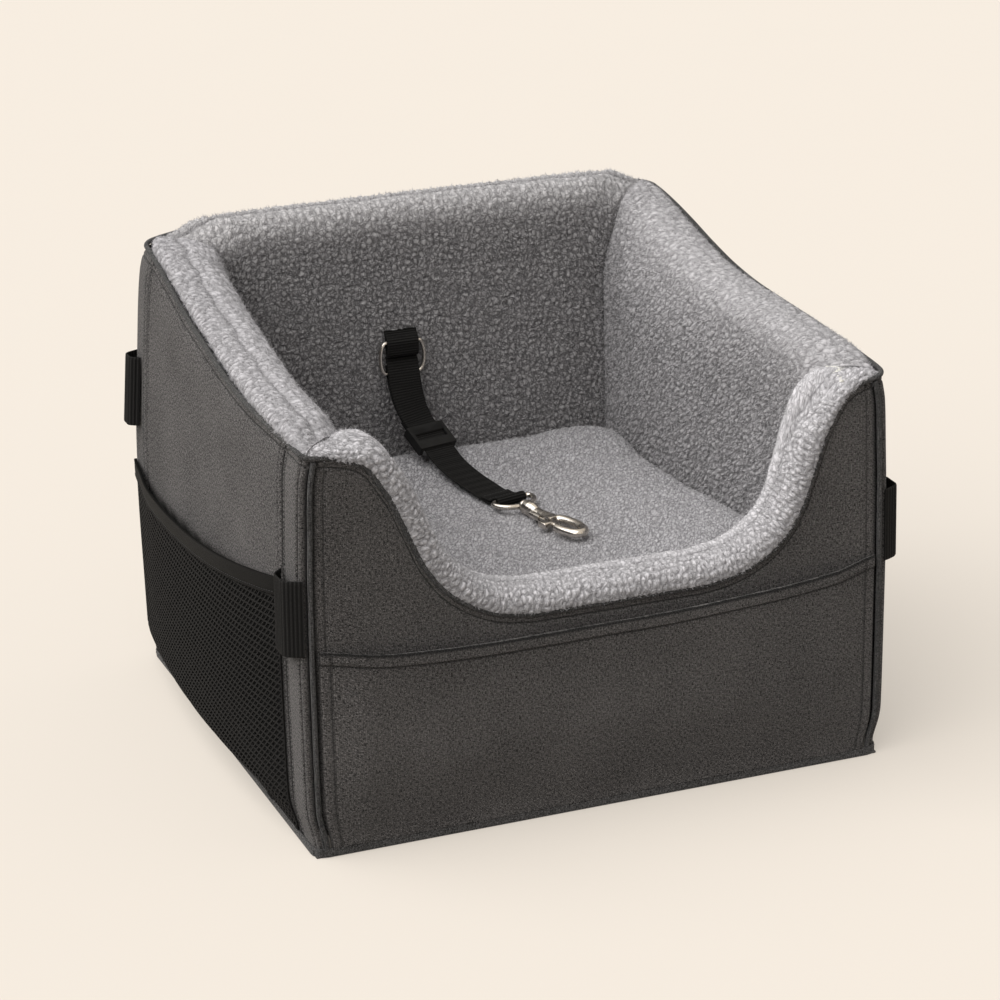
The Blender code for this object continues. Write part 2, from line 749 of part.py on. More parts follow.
def build_belt_loops():
    """Webbing loops over the corner strips, which a seat belt or strap threads down through."""
    for name, sign_x, sign_y in CORNERS:
        centre = front_belt_loop_centre if sign_y < 0 else rear_belt_loop_centre
        low, high = centre - belt_loop_height / 2, centre + belt_loop_height / 2
        sections = []
        for share, stand_share in loop_stand_shares:
            along = mix(half_depth - belt_loop_margin, seam_distance + belt_loop_margin, share)
            turned = max(0.0, along - (half_depth - corner_radius))
            surface = half_width - corner_radius + math.sqrt(corner_radius ** 2 - turned ** 2)
            near = surface + running_gap + belt_loop_stand * stand_share
            far = near + belt_loop_webbing
            plan = Vector((0, sign_y * along, 0))
            corners = ((near, low), (far, low), (far, high), (near, high))
            sections.append([plan + Vector((sign_x * x, 0, z)) for x, z in corners])
        add_skin(name + "_belt_loop", sections, "webbing", leaning=True)


CORNERS = (("front_left", -1, -1), ("front_right", 1, -1), ("rear_left", -1, 1),
           ("rear_right", 1, 1))


def ribbon(name, route, slot, origin, half_span=webbing_width / 2, thickness=webbing_thickness):
    """Flat webbing along a route of points, each with its width direction and its normal."""
    sections = []
    for point, across, normal in route:
        side, up = across * half_span, normal * thickness / 2
        sections.append([corner - origin for corner in (
            point - side - up, point + side - up, point + side + up, point - side + up)])
    item = add_skin(name, sections, slot)
    item.location = origin
    return item


def wall_face(height):
    """Inner face of the rear lining at one height."""
    return lean(Vector((0, cavity_half_depth, height))).y


ring_bar = Vector((anchor_offset, wall_face(ring_bar_height) - ring_wall_distance,
                   ring_bar_height))
tether_bar = ring_bar - Vector((0, 0, ring_depth))
tether_drop = tether_bar.z - tether_lie_height
heading = Vector((math.sin(tether_heading), -math.cos(tether_heading), 0))
sideways = Vector((math.cos(tether_heading), math.sin(tether_heading), 0))
eye_bar = tether_bar + heading * tether_reach
eye_bar.z = tether_lie_height + eye_turn


def build_anchor():
    """The webbing tab on the rear wall that holds the ring's upper bar."""
    far = ring_wall_distance - running_gap - webbing_thickness / 2
    across = Vector((1, 0, 0))
    centres = []
    leg_steps, turn_steps = 4, 6
    for step in range(leg_steps):
        rise = 1 - step / leg_steps
        centres.append((mix(ring_turn, far, ease(rise)), anchor_loop_height * rise))
    for step in range(turn_steps + 1):
        angle = math.pi * step / turn_steps
        centres.append((ring_turn * math.cos(angle), -ring_turn * math.sin(angle)))
    for step in range(1, leg_steps + 1):
        rise = step / leg_steps
        centres.append((mix(-ring_turn, far - layer_pitch, ease(rise)),
                        anchor_loop_height * rise))
    points = [ring_bar + Vector((0, y, z)) for y, z in centres]
    ribbon("anchor_loop", framed(points, [across] * len(points)), "webbing", ring_bar)


def framed(points, across_list):
    """Adds to each point of a route its width direction and the normal square to it."""
    route = []
    for index, (point, across) in enumerate(zip(points, across_list)):
        before = points[max(index - 1, 0)]
        after = points[min(index + 1, len(points) - 1)]
        forward = (after - before).normalized()
        normal = across.cross(forward).normalized()
        route.append((point, forward.cross(normal).normalized(), normal))
    return route


def tube_sections(points, radius, sides, flatness=1.0, cyclic=False):
    """Round or flattened sections along a route that lies in the local XY plane."""
    sections = []
    count = len(points)
    for index, point in enumerate(points):
        before = points[index - 1] if cyclic or index else point
        after = points[(index + 1) % count] if cyclic or index < count - 1 else point
        forward = (after - before).normalized()
        side = forward.cross(Vector((0, 0, 1)))
        section = []
        for step in range(sides):
            angle = 2 * math.pi * step / sides
            offset = side * math.cos(angle) + Vector((0, 0, flatness * math.sin(angle)))
            section.append(point + radius * offset)
        sections.append(section)
    return sections


def build_ring():
    """The wire ring: straight bars for the two webbings, and bowed sides."""
    half_height = ring_depth / 2
    steps = 8
    points = []
    for sign in (1, -1):
        for step in range(steps + 1):
            angle = sign * math.pi * (step / steps - 0.5)
            x = sign * (ring_bar_half + ring_side_bow * math.cos(angle))
            points.append(Vector((x, half_height * math.sin(angle) * sign, 0)))
    points = [Vector((p.x, p.y if p.x > 0 else -p.y, 0)) for p in points]
    points = points[:steps + 1] + [Vector((-p.x, p.y, 0)) for p in points[:steps + 1]][::-1]
    shape = bmesh.new()
    skin(shape, tube_sections(points, ring_wire_radius, 8, cyclic=True), closed=True)
    turn = Matrix.Rotation(math.pi / 2, 4, "X")
    bmesh.ops.transform(shape, matrix=turn, verts=shape.verts[:])
    bmesh.ops.translate(shape, vec=Vector((0, 0, -half_height)), verts=shape.verts[:])
    ring = add_mesh("d_ring", shape, "nickel")
    ring.location = ring_bar


def strap_frame(share):
    """Middle of the strap at a share of its reach: point, width direction and normal."""
    def centre(at):
        drop = tether_drop * curve_value(strap_route_shares, at)
        aside = tether_bar.x + heading.x * tether_reach * at * ease(at / strap_turn_share)
        return Vector((aside, tether_bar.y + heading.y * tether_reach * at,
                       tether_lie_height + drop))

    step = strap_turn_share * fine_share
    forward = (centre(share + step) - centre(max(share - step, 0.0))).normalized()
    across = Vector((1, 0, 0)).lerp(sideways, ease(share / strap_turn_share)).normalized()
    normal = forward.cross(across).normalized()
    across = normal.cross(forward).normalized()
    return centre(share), across, normal


def build_strap():
    """The adjustable strap: back leg, turn round the ring, long leg, and the sewn eye fold."""
    point, across, normal = strap_frame(slider_share)
    level_share = across.cross(normal).dot(heading) / tether_reach
    route = []
    back_end = slider_share - (fold_short_leg + slider_travel + 2 * running_gap) * level_share
    for share in [back_end] + [s for s in strap_station_shares[::-1] if s < back_end]:
        point, across, normal = strap_frame(share)
        offset = mix(ring_turn, layer_pitch / 2, ease(share / strap_closing_share))
        route.append((point - normal * offset, across, normal))
    point, across, normal = strap_frame(0.0)
    upward = normal.cross(across)
    turn_steps = 6
    for step in range(turn_steps + 1):
        angle = math.pi * step / turn_steps
        out = -normal * math.cos(angle) + upward * math.sin(angle)
        route.append((point + out * ring_turn, across, -out))
    merge_start, merge_stop = strap_merge_shares
    for share in strap_station_shares:
        point, across, normal = strap_frame(share)
        offset = mix(ring_turn, layer_pitch / 2, ease(share / strap_closing_share))
        offset *= 1 - ease((share - merge_start) / (merge_stop - merge_start))
        route.append((point + normal * offset, across, -normal))
    up = Vector((0, 0, 1))
    for step in range(1, turn_steps + 1):
        angle = math.pi * step / turn_steps
        out = -up * math.cos(angle) + heading * math.sin(angle)
        route.append((eye_bar + out * eye_turn, sideways, out))
    lowered = 2 * eye_turn - layer_pitch
    for share in eye_fold_shares:
        height = eye_turn - lowered * ease(share / eye_fold_shares[1])
        back = eye_bar - heading * eye_fold_flap * share
        route.append((back + up * height, sideways, up))
    ribbon("tether_strap", route, "webbing", tether_bar)


def local_frame(point, forward, across, normal):
    """The matrix of a place whose X runs forward, Y across and Z along the normal."""
    frame = Matrix((forward, across, normal)).transposed().to_4x4()
    frame.translation = point
    return frame


def box(name, low, high, bevel=0.0):
    """A block between two corners, for the pieces and for their cutters."""
    shape = bmesh.new()
    bmesh.ops.create_cube(shape, size=1)
    size = Vector(high) - Vector(low)
    bmesh.ops.scale(shape, vec=size, verts=shape.verts[:])
    bmesh.ops.translate(shape, vec=(Vector(high) + Vector(low)) / 2, verts=shape.verts[:])
    if bevel:
        bmesh.ops.bevel(shape, geom=shape.edges[:], offset=bevel, segments=1, profile=0.5,
                        affect="EDGES", material=-1)
    return add_mesh(name, shape)


def combine(target, others, operation):
    """Joins or cuts the target with hidden helper solids."""
    for other in others:
        other.hide_render = True
        other.display_type = "WIRE"
        other.parent = target.parent
        other.matrix_parent_inverse = target.matrix_parent_inverse
        other.location = target.location
        other.rotation_euler = target.rotation_euler
        modifier = target.modifiers.new(other.name, "BOOLEAN")
        modifier.operation = operation
        modifier.object = other


def add_pivot(name, matrix, parent=None):
    """An empty that carries what turns or slides with it."""
    pivot = bpy.data.objects.new(name, None)
    bpy.context.scene.collection.objects.link(pivot)
    pivot.empty_display_size = webbing_width / 2
    pivot.parent = parent
    pivot.matrix_local = matrix
    return pivot


def build_slider():
    """The three-bar slider on the strap, and the sewn strap end that is folded round its bar."""
    point, across, normal = strap_frame(slider_share)
    forward = across.cross(normal)
    runner = add_pivot("slider_runner", local_frame(point, forward, across, normal))
    inner_half = webbing_width / 2 + ring_side_clearance
    outer_half = inner_half + slider_rail
    channel_top = layer_pitch / 2 + webbing_thickness / 2 + running_gap
    fold_top = -layer_pitch / 2 + webbing_thickness / 2
    bar_top = fold_top - webbing_thickness - running_gap
    bar_low = bar_top - slider_bar_height
    half_length, half_bar = slider_length / 2, slider_bar_length / 2
    slider = box("slider", (-half_length, -outer_half, bar_low),
                 (half_length, outer_half, channel_top + slider_top), slider_edge)
    slider.data.materials.append(finish("slider_plastic"))
    slider.parent = runner
    far = half_length + overrun
    channel = box("slider_channel", (-far, -inner_half, bar_top), (far, inner_half, channel_top))
    low = bar_low - overrun
    rear_mouth = box("slider_rear_mouth", (-far, -inner_half, low),
                     (-half_bar, inner_half, channel_top))
    front_mouth = box("slider_front_mouth", (half_bar, -inner_half, low),
                      (far, inner_half, channel_top))
    window_half = slider_window / 2
    window = box("slider_top_window", (-window_half, -inner_half, fold_top),
                 (window_half, inner_half, channel_top + slider_top + overrun))
    combine(slider, (channel, rear_mouth, front_mouth, window), "DIFFERENCE")

    x_axis, y_axis, z_axis = Vector((1, 0, 0)), Vector((0, 1, 0)), Vector((0, 0, 1))
    upper = fold_top - webbing_thickness / 2
    lower = bar_low - running_gap - webbing_thickness / 2
    middle, radius = (upper + lower) / 2, (upper - lower) / 2
    bow = half_bar + running_gap
    route = [(Vector((-fold_short_leg, 0, upper)), y_axis, z_axis),
             (Vector((bow, 0, upper)), y_axis, z_axis)]
    turn_steps = 6
    for step in range(1, turn_steps):
        angle = math.pi * step / turn_steps
        out = z_axis * math.cos(angle) + x_axis * math.sin(angle)
        route.append((Vector((bow, 0, middle)) + out * radius, y_axis, out))
    route.append((Vector((bow, 0, lower)), y_axis, -z_axis))
    risen = upper - layer_pitch
    rise_start, rise_stop = end_fold_rise_shares
    for share in end_fold_shares:
        x = mix(0, -fold_long_leg, share)
        z = mix(lower, risen, ease((share - rise_start) / (rise_stop - rise_start)))
        route.append((Vector((x, 0, z)), y_axis, -z_axis))
    fold = ribbon("strap_end_fold", route, "webbing", Vector((0, 0, 0)))
    fold.parent = runner


def lathe(name, profile, sides, slot=None):
    """Turns a profile of distance along X and radius into a solid with two flat ends."""
    sections = []
    for distance, radius in profile:
        ring = []
        for step in range(sides):
            angle = 2 * math.pi * step / sides
            ring.append(Vector((distance, radius * math.cos(angle), radius * math.sin(angle))))
        sections.append(ring)
    shape = bmesh.new()
    skin(shape, sections)
    return add_mesh(name, shape, slot)


def build_snap():
    """The swivel eye, the hook body, its thumb bolt and the spring behind it."""
    eye_pivot = add_pivot("eye_pivot", local_frame(eye_bar, heading, sideways,
                                                   Vector((0, 0, 1))))
    half_bar = webbing_width / 2 + ring_side_clearance
    steps = 10
    points = [Vector((0, -half_bar / 2, 0)), Vector((0, -half_bar, 0))]
    corner = Vector((eye_shoulder, -half_bar, 0))
    for turn in (0.5, 1.0):
        angle = math.pi / 2 * turn
        points.append(corner + Vector((-eye_shoulder * math.cos(angle),
                                       -eye_bow * math.sin(angle), 0)))
    for step in range(1, steps):
        angle = math.pi * (step / steps - 0.5)
        points.append(Vector((eye_shoulder + (eye_depth - eye_shoulder) * math.cos(angle),
                              (half_bar + eye_bow) * math.sin(angle), 0)))
    points += [Vector((p.x, -p.y, 0)) for p in points[3::-1]]
    shape = bmesh.new()
    skin(shape, tube_sections(points, eye_wire_radius, 8, cyclic=True), closed=True)
    eye = add_mesh("swivel_eye", shape, "nickel")
    eye.parent = eye_pivot
    boss_front = eye_depth + swivel_boss_length
    barrel_rear = boss_front + swivel_gap
    cavity_rear = barrel_rear + barrel_wall
    head_rear = cavity_rear + swivel_gap
    head_front = head_rear + swivel_head_length
    post = lathe("swivel_post", (
        (eye_depth - eye_wire_radius / 2, swivel_boss_radius * boss_foot_share),
        (eye_depth, swivel_boss_radius), (boss_front, swivel_boss_radius),
        (boss_front, swivel_post_radius), (head_rear, swivel_post_radius),
        (head_rear, swivel_head_radius), (head_front, swivel_head_radius)), 12)
    combine(eye, [post], "UNION")

    hook_pivot = add_pivot("hook_pivot", Matrix.Translation((barrel_rear, 0, 0)), eye_pivot)
    wall_front = barrel_wall
    cavity_front = head_front + swivel_gap - barrel_rear
    hole = swivel_post_radius + swivel_gap
    cavity = swivel_head_radius + swivel_gap
    chamfer = barrel_wall / 3
    body = lathe("hook_body", (
        (cavity_front, cavity), (wall_front, cavity), (wall_front, hole), (0, hole),
        (0, barrel_radius - chamfer), (chamfer, barrel_radius),
        (barrel_length - chamfer, barrel_radius), (barrel_length, barrel_radius - chamfer),
        (barrel_length, neck_width / 2)), 16, "nickel")
    body.parent = hook_pivot
    neck_front = barrel_length + neck_length
    neck_sides = 12
    neck_widths = [(share, neck_width * part) for share, part in neck_shares]
    neck_widths += [(share, neck_flare_width * part) for share, part in neck_flare_shares]
    neck_sections = []
    for share, width in neck_widths:
        x = barrel_length + neck_length * share
        ring = []
        for step in range(neck_sides):
            angle = 2 * math.pi * step / neck_sides
            ring.append(Vector((x, width / 2 * math.cos(angle),
                                neck_thickness / 2 * math.sin(angle))))
        neck_sections.append(ring)
    shape = bmesh.new()
    skin(shape, neck_sections)
    neck = add_mesh("hook_neck", shape)
    wire_half_length = hook_length / 2 - hook_wire_radius
    wire_half_width = hook_width / 2 - hook_wire_radius
    oval_centre = neck_front - hook_wire_radius / 2 + wire_half_length
    housing_front = neck_front + hook_wire_radius / 2
    mouth_front = housing_front + bolt_mouth
    first = math.pi * hook_start_share
    last = -math.acos((mouth_front - oval_centre) / wire_half_length)
    points = []
    steps = 22
    for step in range(steps + 1):
        angle = mix(first, last, step / steps)
        across = math.copysign(abs(math.sin(angle)) ** hook_oval_power, math.sin(angle))
        points.append(Vector((oval_centre + wire_half_length * math.cos(angle),
                              wire_half_width * across, 0)))
    shape = bmesh.new()
    skin(shape, tube_sections(points, hook_wire_radius, 8, hook_wire_flatness))
    oval = add_mesh("hook_oval", shape)
    housing_rear = housing_front - bolt_housing_length
    housing = lathe("bolt_housing", ((housing_rear, bolt_housing_radius * housing_end_share),
                                     (housing_rear + chamfer, bolt_housing_radius),
                                     (housing_front, bolt_housing_radius)), 12)
    shift = Matrix.Translation((0, -bolt_offset, 0))
    housing.data.transform(shift)
    combine(body, (neck, oval, housing), "UNION")
    bore_radius = bolt_radius + running_gap
    bore_rear = housing_rear + barrel_wall
    bore = lathe("bolt_bore", ((bore_rear, bore_radius), (housing_front + overrun, bore_radius)),
                 12)
    bore.data.transform(shift)
    bolt_front = mouth_front - running_gap
    tab_rear = housing_front - thumb_tab_length / 2 + running_gap
    slot_half = thumb_tab_width / 2 + running_gap
    slot_rear = tab_rear - bolt_travel - running_gap
    slot = box("bolt_slot", (slot_rear, -bolt_offset - bolt_housing_radius - overrun, -slot_half),
               (housing_front + overrun, -bolt_offset, slot_half))
    combine(body, (bore, slot), "DIFFERENCE")

    bolt_pivot = add_pivot("bolt_pivot", Matrix.Translation((0, -bolt_offset, 0)), hook_pivot)
    bolt_rear = tab_rear - bolt_rear_length
    tip = bolt_radius / 3
    bolt = lathe("thumb_bolt", ((bolt_rear, bolt_radius), (bolt_front - tip, bolt_radius),
                                (bolt_front, bolt_radius - tip)), 12, "nickel")
    bolt.parent = bolt_pivot
    tab = box("thumb_tab", (tab_rear, -bolt_radius - thumb_tab_reach, -thumb_tab_width / 2),
              (tab_rear + thumb_tab_length, -bolt_radius / 2, thumb_tab_width / 2),
              thumb_tab_width / 6)
    combine(bolt, [tab], "UNION")
    spring_radius = bore_radius - running_gap - bolt_spring_wire
    start, stop = bore_rear + running_gap, bolt_rear - running_gap
    per_turn = 10
    route = []
    for step in range(bolt_spring_turns * per_turn + 1):
        angle = 2 * math.pi * step / per_turn
        x = mix(start + bolt_spring_wire, stop - bolt_spring_wire,
                step / (bolt_spring_turns * per_turn))
        route.append(Vector((x, spring_radius * math.cos(angle),
                             spring_radius * math.sin(angle))))
    spring = add_tube("bolt_spring", route, bolt_spring_wire, "spring_steel", sides=3)
    spring.parent = bolt_pivot


def main():
    """Clears the scene and builds the car seat."""
    for item in list(bpy.data.objects):
        bpy.data.objects.remove(item, do_unlink=True)
    build_base()
    build_walls()
    build_corner_strips()
    build_piping()
    build_cushion()
    build_patch_pocket()
    build_net_pockets()
    build_belt_loops()
    build_anchor()
    build_ring()
    build_strap()
    build_slider()
    build_snap()


main()
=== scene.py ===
"""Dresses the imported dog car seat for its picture: fleece, cloth, nets, webbing and nickel."""

import json
import logging
import math
from dataclasses import dataclass, field
from enum import Enum
from itertools import product
from typing import Any, Callable, Sequence

import bmesh
import bpy
import numpy as np
from mathutils import Matrix, Vector

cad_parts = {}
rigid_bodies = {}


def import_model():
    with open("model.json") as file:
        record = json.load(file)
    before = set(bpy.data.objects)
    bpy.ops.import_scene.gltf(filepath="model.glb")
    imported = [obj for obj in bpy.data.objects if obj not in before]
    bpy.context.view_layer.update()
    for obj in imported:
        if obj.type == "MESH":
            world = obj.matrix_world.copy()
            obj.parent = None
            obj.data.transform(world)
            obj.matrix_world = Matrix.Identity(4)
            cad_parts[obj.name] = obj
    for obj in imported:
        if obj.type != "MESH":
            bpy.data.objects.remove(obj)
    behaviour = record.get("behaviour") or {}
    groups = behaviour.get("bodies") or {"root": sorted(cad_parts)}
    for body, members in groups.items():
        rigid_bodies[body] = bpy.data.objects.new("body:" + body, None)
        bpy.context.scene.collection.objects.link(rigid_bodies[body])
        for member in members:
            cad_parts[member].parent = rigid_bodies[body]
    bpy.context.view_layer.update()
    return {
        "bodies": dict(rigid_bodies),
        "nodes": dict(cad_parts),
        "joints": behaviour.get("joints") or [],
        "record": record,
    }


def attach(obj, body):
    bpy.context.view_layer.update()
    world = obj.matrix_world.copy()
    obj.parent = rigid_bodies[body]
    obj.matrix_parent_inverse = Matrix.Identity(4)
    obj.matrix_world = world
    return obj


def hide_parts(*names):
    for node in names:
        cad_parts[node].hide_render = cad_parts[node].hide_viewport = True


log = logging.getLogger("dog_car_seat")

Array = np.ndarray
Triple = tuple[float, float, float]
Obj = bpy.types.Object
Mesh = bpy.types.Mesh
Material = bpy.types.Material
Node = bpy.types.Node
NodeTree = bpy.types.NodeTree
Socket = bpy.types.NodeSocket

ACROSS, BACK, UP = np.eye(3)
BLACK: Triple = (0.0, 0.0, 0.0)


class Body(Enum):
    """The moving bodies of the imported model."""

    TUB = "tub"
    RING = "ring"
    TETHER = "tether"
    SLIDER = "slider"
    EYE = "eye"
    HOOK = "hook"
    BOLT = "bolt"


class Side(Enum):
    """The four walls of the tub."""

    FRONT = "front"
    REAR = "rear"
    LEFT = "left"
    RIGHT = "right"

    @property
    def is_end(self) -> bool:
        """Whether the wall runs across the seat."""
        return self in (Side.FRONT, Side.REAR)


class Slot(Enum):
    """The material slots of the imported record."""

    SHELL = "shell_fabric"
    SHERPA = "sherpa"
    BINDING = "binding"
    WEBBING = "webbing"
    NET = "mesh_net"
    BOARD = "stiffener_board"
    FOAM = "foam"
    NICKEL = "nickel"
    PLASTIC = "slider_plastic"
    SPRING = "spring_steel"


# ---------------------------------------------------------------- numbers and noise


def ease(share: Array | float) -> Array:
    """A step from 0 to 1 that starts and ends level."""
    share = np.clip(share, 0.0, 1.0)
    return share * share * (3 - 2 * share)


def mix(low: Any, high: Any, share: Any) -> Any:
    """The value a share of the way from low to high."""
    return low + (high - low) * share


def unit(vectors: Array) -> Array:
    """Vectors of length 1 in the same directions."""
    return vectors / np.maximum(np.linalg.norm(vectors, axis=-1, keepdims=True), 1e-12)


def joined(*parts: Array | float) -> Array:
    """Numbers side by side on a new last axis, each spread to the shape that they share."""
    return np.stack(np.broadcast_arrays(*parts), axis=-1)


def bell(values: Array, centre: Array | float, width: float) -> Array:
    """A bump of height 1 round a centre."""
    return np.exp(-(((values - centre) / width) ** 2))


def read_along(places: Array, run: Array, table: Array) -> Array:
    """Rows of a table at places along its run."""
    return joined(*(np.interp(places, run, column) for column in table.T))


def scrambled(cells: Array, seed: int) -> Array:
    """A fixed number from 0 to 1 for each whole-number cell.

    Args:
        cells: whole coordinates, the last axis holding two or three of them.
        seed: picks one of many patterns.

    Returns:
        One number for each cell.
    """
    mixed = np.full(cells.shape[:-1], seed * 2654435761 % 2**32, dtype=np.uint64)
    for axis, factor in zip(range(cells.shape[-1]), (73856093, 19349663, 83492791)):
        mixed ^= (cells[..., axis].astype(np.int64) & 0xFFFFF).astype(np.uint64) * np.uint64(factor)
    mixed &= np.uint64(0xFFFFFFFF)
    for _ in range(2):
        mixed ^= mixed >> np.uint64(15)
        mixed = (mixed * np.uint64(0x2C1B3C6D)) & np.uint64(0xFFFFFFFF)
    mixed ^= mixed >> np.uint64(13)
    return mixed.astype(float) / 2**32


def smooth_noise(points: Array, seed: int, octaves: int = 1) -> Array:
    """Soft noise from about -1 to 1 over points whose features are one unit apart.

    Args:
        points: coordinates, the last axis holding two or three of them.
        seed: picks one of many patterns.
        octaves: how many halved sizes are added.

    Returns:
        One number for each point.
    """
    total = np.zeros(points.shape[:-1])
    for octave in range(octaves):
        scaled = points * 2**octave
        base = np.floor(scaled).astype(np.int64)
        share = ease(scaled - base)
        for corner in product((0, 1), repeat=points.shape[-1]):
            offset = np.array(corner)
            weight = np.prod(np.where(offset == 1, share, 1 - share), axis=-1)
            total += weight * scrambled(base + offset, seed + octave) / 2**octave
    return 2 * total / (2 - 2 ** (1 - octaves)) - 1


def puffs(points: Array, seed: int) -> Array:
    """Rounded lumps one unit apart with creases between them, from 0 in a crease to 1.

    Args:
        points: flat coordinates, the last axis holding two of them.
        seed: picks one of many patterns.

    Returns:
        One height for each point.
    """
    base = np.floor(points).astype(np.int64)
    nearest = np.full(points.shape[:-1], 9.0)
    second = nearest.copy()
    for corner in product((-1, 0, 1), repeat=2):
        cell = base + np.array(corner)
        centre = cell + 0.5
        centre = centre + 0.8 * joined(scrambled(cell, seed) - 0.5, scrambled(cell, seed + 7) - 0.5)
        distance = np.linalg.norm(points - centre, axis=-1)
        second = np.minimum(second, np.maximum(nearest, distance))
        nearest = np.minimum(nearest, distance)
    return np.sqrt(np.clip((second - nearest) * 1.6, 0, 1))


@dataclass(frozen=True)
class SmoothCurve:
    """A curve through given points, with no overshoot between them."""

    points: tuple[tuple[float, float], ...]

    def at(self, places: Array | float) -> Array:
        """Heights of the curve.

        Args:
            places: where it is read.

        Returns:
            One height for each place.
        """
        xs, ys = np.array(self.points).T
        spans = np.diff(xs)
        rises = np.diff(ys) / spans
        before, after = rises[:-1], rises[1:]
        turning = before * after <= 0
        inner = np.where(turning, 0.0, 2 * before * after / np.where(turning, 1.0, before + after))
        slopes = np.concatenate(([rises[0]], inner, [rises[-1]]))
        places = np.clip(places, xs[0], xs[-1])
        index = np.clip(np.searchsorted(xs, places, side="right") - 1, 0, len(spans) - 1)
        t = (places - xs[index]) / spans[index]
        start = ys[index] * (2 * t**3 - 3 * t**2 + 1)
        start += slopes[index] * spans[index] * (t**3 - 2 * t**2 + t)
        end = ys[index + 1] * (3 * t**2 - 2 * t**3)
        end += slopes[index + 1] * spans[index] * (t**3 - t**2)
        return start + end


# ---------------------------------------------------------------- meshes


def link_object(name: str, data: bpy.types.ID) -> Obj:
    """Puts a mesh, lamp or camera in the scene under its name.

    Args:
        name: its name.
        data: its mesh, camera or lamp.

    Returns:
        The object.
    """
    item = bpy.data.objects.new(name, data)
    bpy.context.scene.collection.objects.link(item)
    return item


def read_points(mesh: Mesh) -> Array:
    """A mesh's points as (count, 3).

    Args:
        mesh: the mesh.

    Returns:
        Its points as (count, 3).
    """
    flat = np.empty(len(mesh.vertices) * 3)
    mesh.vertices.foreach_get("co", flat)
    return flat.reshape(-1, 3)


def write_points(mesh: Mesh, points: Array) -> None:
    """Moves a mesh's points."""
    mesh.vertices.foreach_set("co", np.ascontiguousarray(points).ravel())
    mesh.update()


def modify(item: Obj, kind: str, **settings: Any) -> bpy.types.Modifier:
    """Adds a modifier with its settings.

    Args:
        item: the piece.
        kind: Blender's name for the modifier.
        settings: its settings.

    Returns:
        The modifier.
    """
    modifier = item.modifiers.new(kind.capitalize(), kind)
    for key, value in settings.items():
        setattr(modifier, key, value)
    return modifier


def apply_modifiers(item: Obj) -> None:
    """Keeps what a piece's modifiers make, and removes them.

    Args:
        item: the piece, whose mesh is replaced.
    """
    evaluated = item.evaluated_get(bpy.context.evaluated_depsgraph_get())
    made = bpy.data.meshes.new_from_object(evaluated)
    item.modifiers.clear()
    item.data = made


def link_shape(name: str, shape: bmesh.types.BMesh, sharp: float = math.radians(40)) -> Obj:
    """Turns a bmesh into an object with its faces pointing out and its round parts smooth.

    Args:
        name: the piece's name.
        shape: the finished bmesh, which is freed.
        sharp: edges that turn more than this stay sharp.

    Returns:
        The new object.
    """
    bmesh.ops.recalc_face_normals(shape, faces=shape.faces[:])
    mesh = bpy.data.meshes.new(name)
    shape.to_mesh(mesh)
    shape.free()
    mesh.shade_smooth()
    mesh.set_sharp_from_angle(angle=sharp)
    return link_object(name, mesh)


def cover(name: str, points: Array, uv: Array, marks: dict[str, Array] | None = None,
          sharp: float = math.radians(50)) -> Obj:
    """Lays a grid over rows of points, welds its meeting edges and closes its open ends.

    Args:
        name: the piece's name.
        points: places as (stations, points of a station, 3), the first repeated last where
            the row closes on itself.
        uv: cloth coordinates in metres as (stations, points of a station, 2).
        marks: values for the materials, by attribute name, as (stations, points of a station).
        sharp: edges that turn more than this stay sharp.

    Returns:
        The new object.
    """
    columns, rows = points.shape[0] - 1, points.shape[1] - 1
    shape = bmesh.new()
    bmesh.ops.create_grid(shape, x_segments=columns, y_segments=rows, size=0.5)
    mesh = bpy.data.meshes.new(name)
    shape.to_mesh(mesh)
    column, row, _ = np.rint((read_points(mesh) + 0.5) * [columns, rows, 0]).astype(int).T
    mesh.vertices.foreach_set("co", points[column, row].ravel())
    corners = np.empty(len(mesh.loops), dtype=np.int32)
    mesh.loops.foreach_get("vertex_index", corners)
    layer = mesh.uv_layers.new(name="cloth")
    layer.uv.foreach_set("vector", uv[column, row][corners].ravel())
    for mark, values in (marks or {}).items():
        attribute = mesh.attributes.new(mark, "FLOAT", "POINT")
        attribute.data.foreach_set("value", values[column, row].astype(np.float32).ravel())
    shape.clear()
    shape.from_mesh(mesh)
    rim = [vertex for vertex in shape.verts if vertex.is_boundary]
    bmesh.ops.remove_doubles(shape, verts=rim, dist=1e-6)
    open_edges = [edge for edge in shape.edges if edge.is_boundary]
    bmesh.ops.holes_fill(shape, edges=open_edges, sides=0)
    bmesh.ops.recalc_face_normals(shape, faces=shape.faces[:])
    shape.to_mesh(mesh)
    shape.free()
    mesh.shade_smooth()
    mesh.set_sharp_from_angle(angle=sharp)
    return link_object(name, mesh)


def wrapped(outer: Array, inner: Array) -> Array:
    """Rows of a cloth's outer face, of its inner face, and the first row again."""
    return np.concatenate([outer, inner, outer[:, :1]], axis=1)


def grid_normals(points: Array) -> Array:
    """Directions square to a grid of points."""
    along, across = np.gradient(points, axis=0), np.gradient(points, axis=1)
    return unit(np.cross(along, across))


def run_lengths(points: Array) -> Array:
    """Distance run along a row of points, from 0."""
    steps = np.linalg.norm(np.diff(points, axis=0), axis=-1)
    return np.concatenate(([0.0], np.cumsum(steps)))


def even_stations(sample: Array, line: Array, spacing: float) -> Array:
    """Values of sample at even distances along the line that they make.

    Args:
        sample: rising values.
        line: the line's point at each of them.
        spacing: the distance wanted between stations.

    Returns:
        The stations.
    """
    run = run_lengths(line)
    count = max(2, round(run[-1] / spacing))
    return np.interp(np.linspace(0, run[-1], count + 1), run, sample)


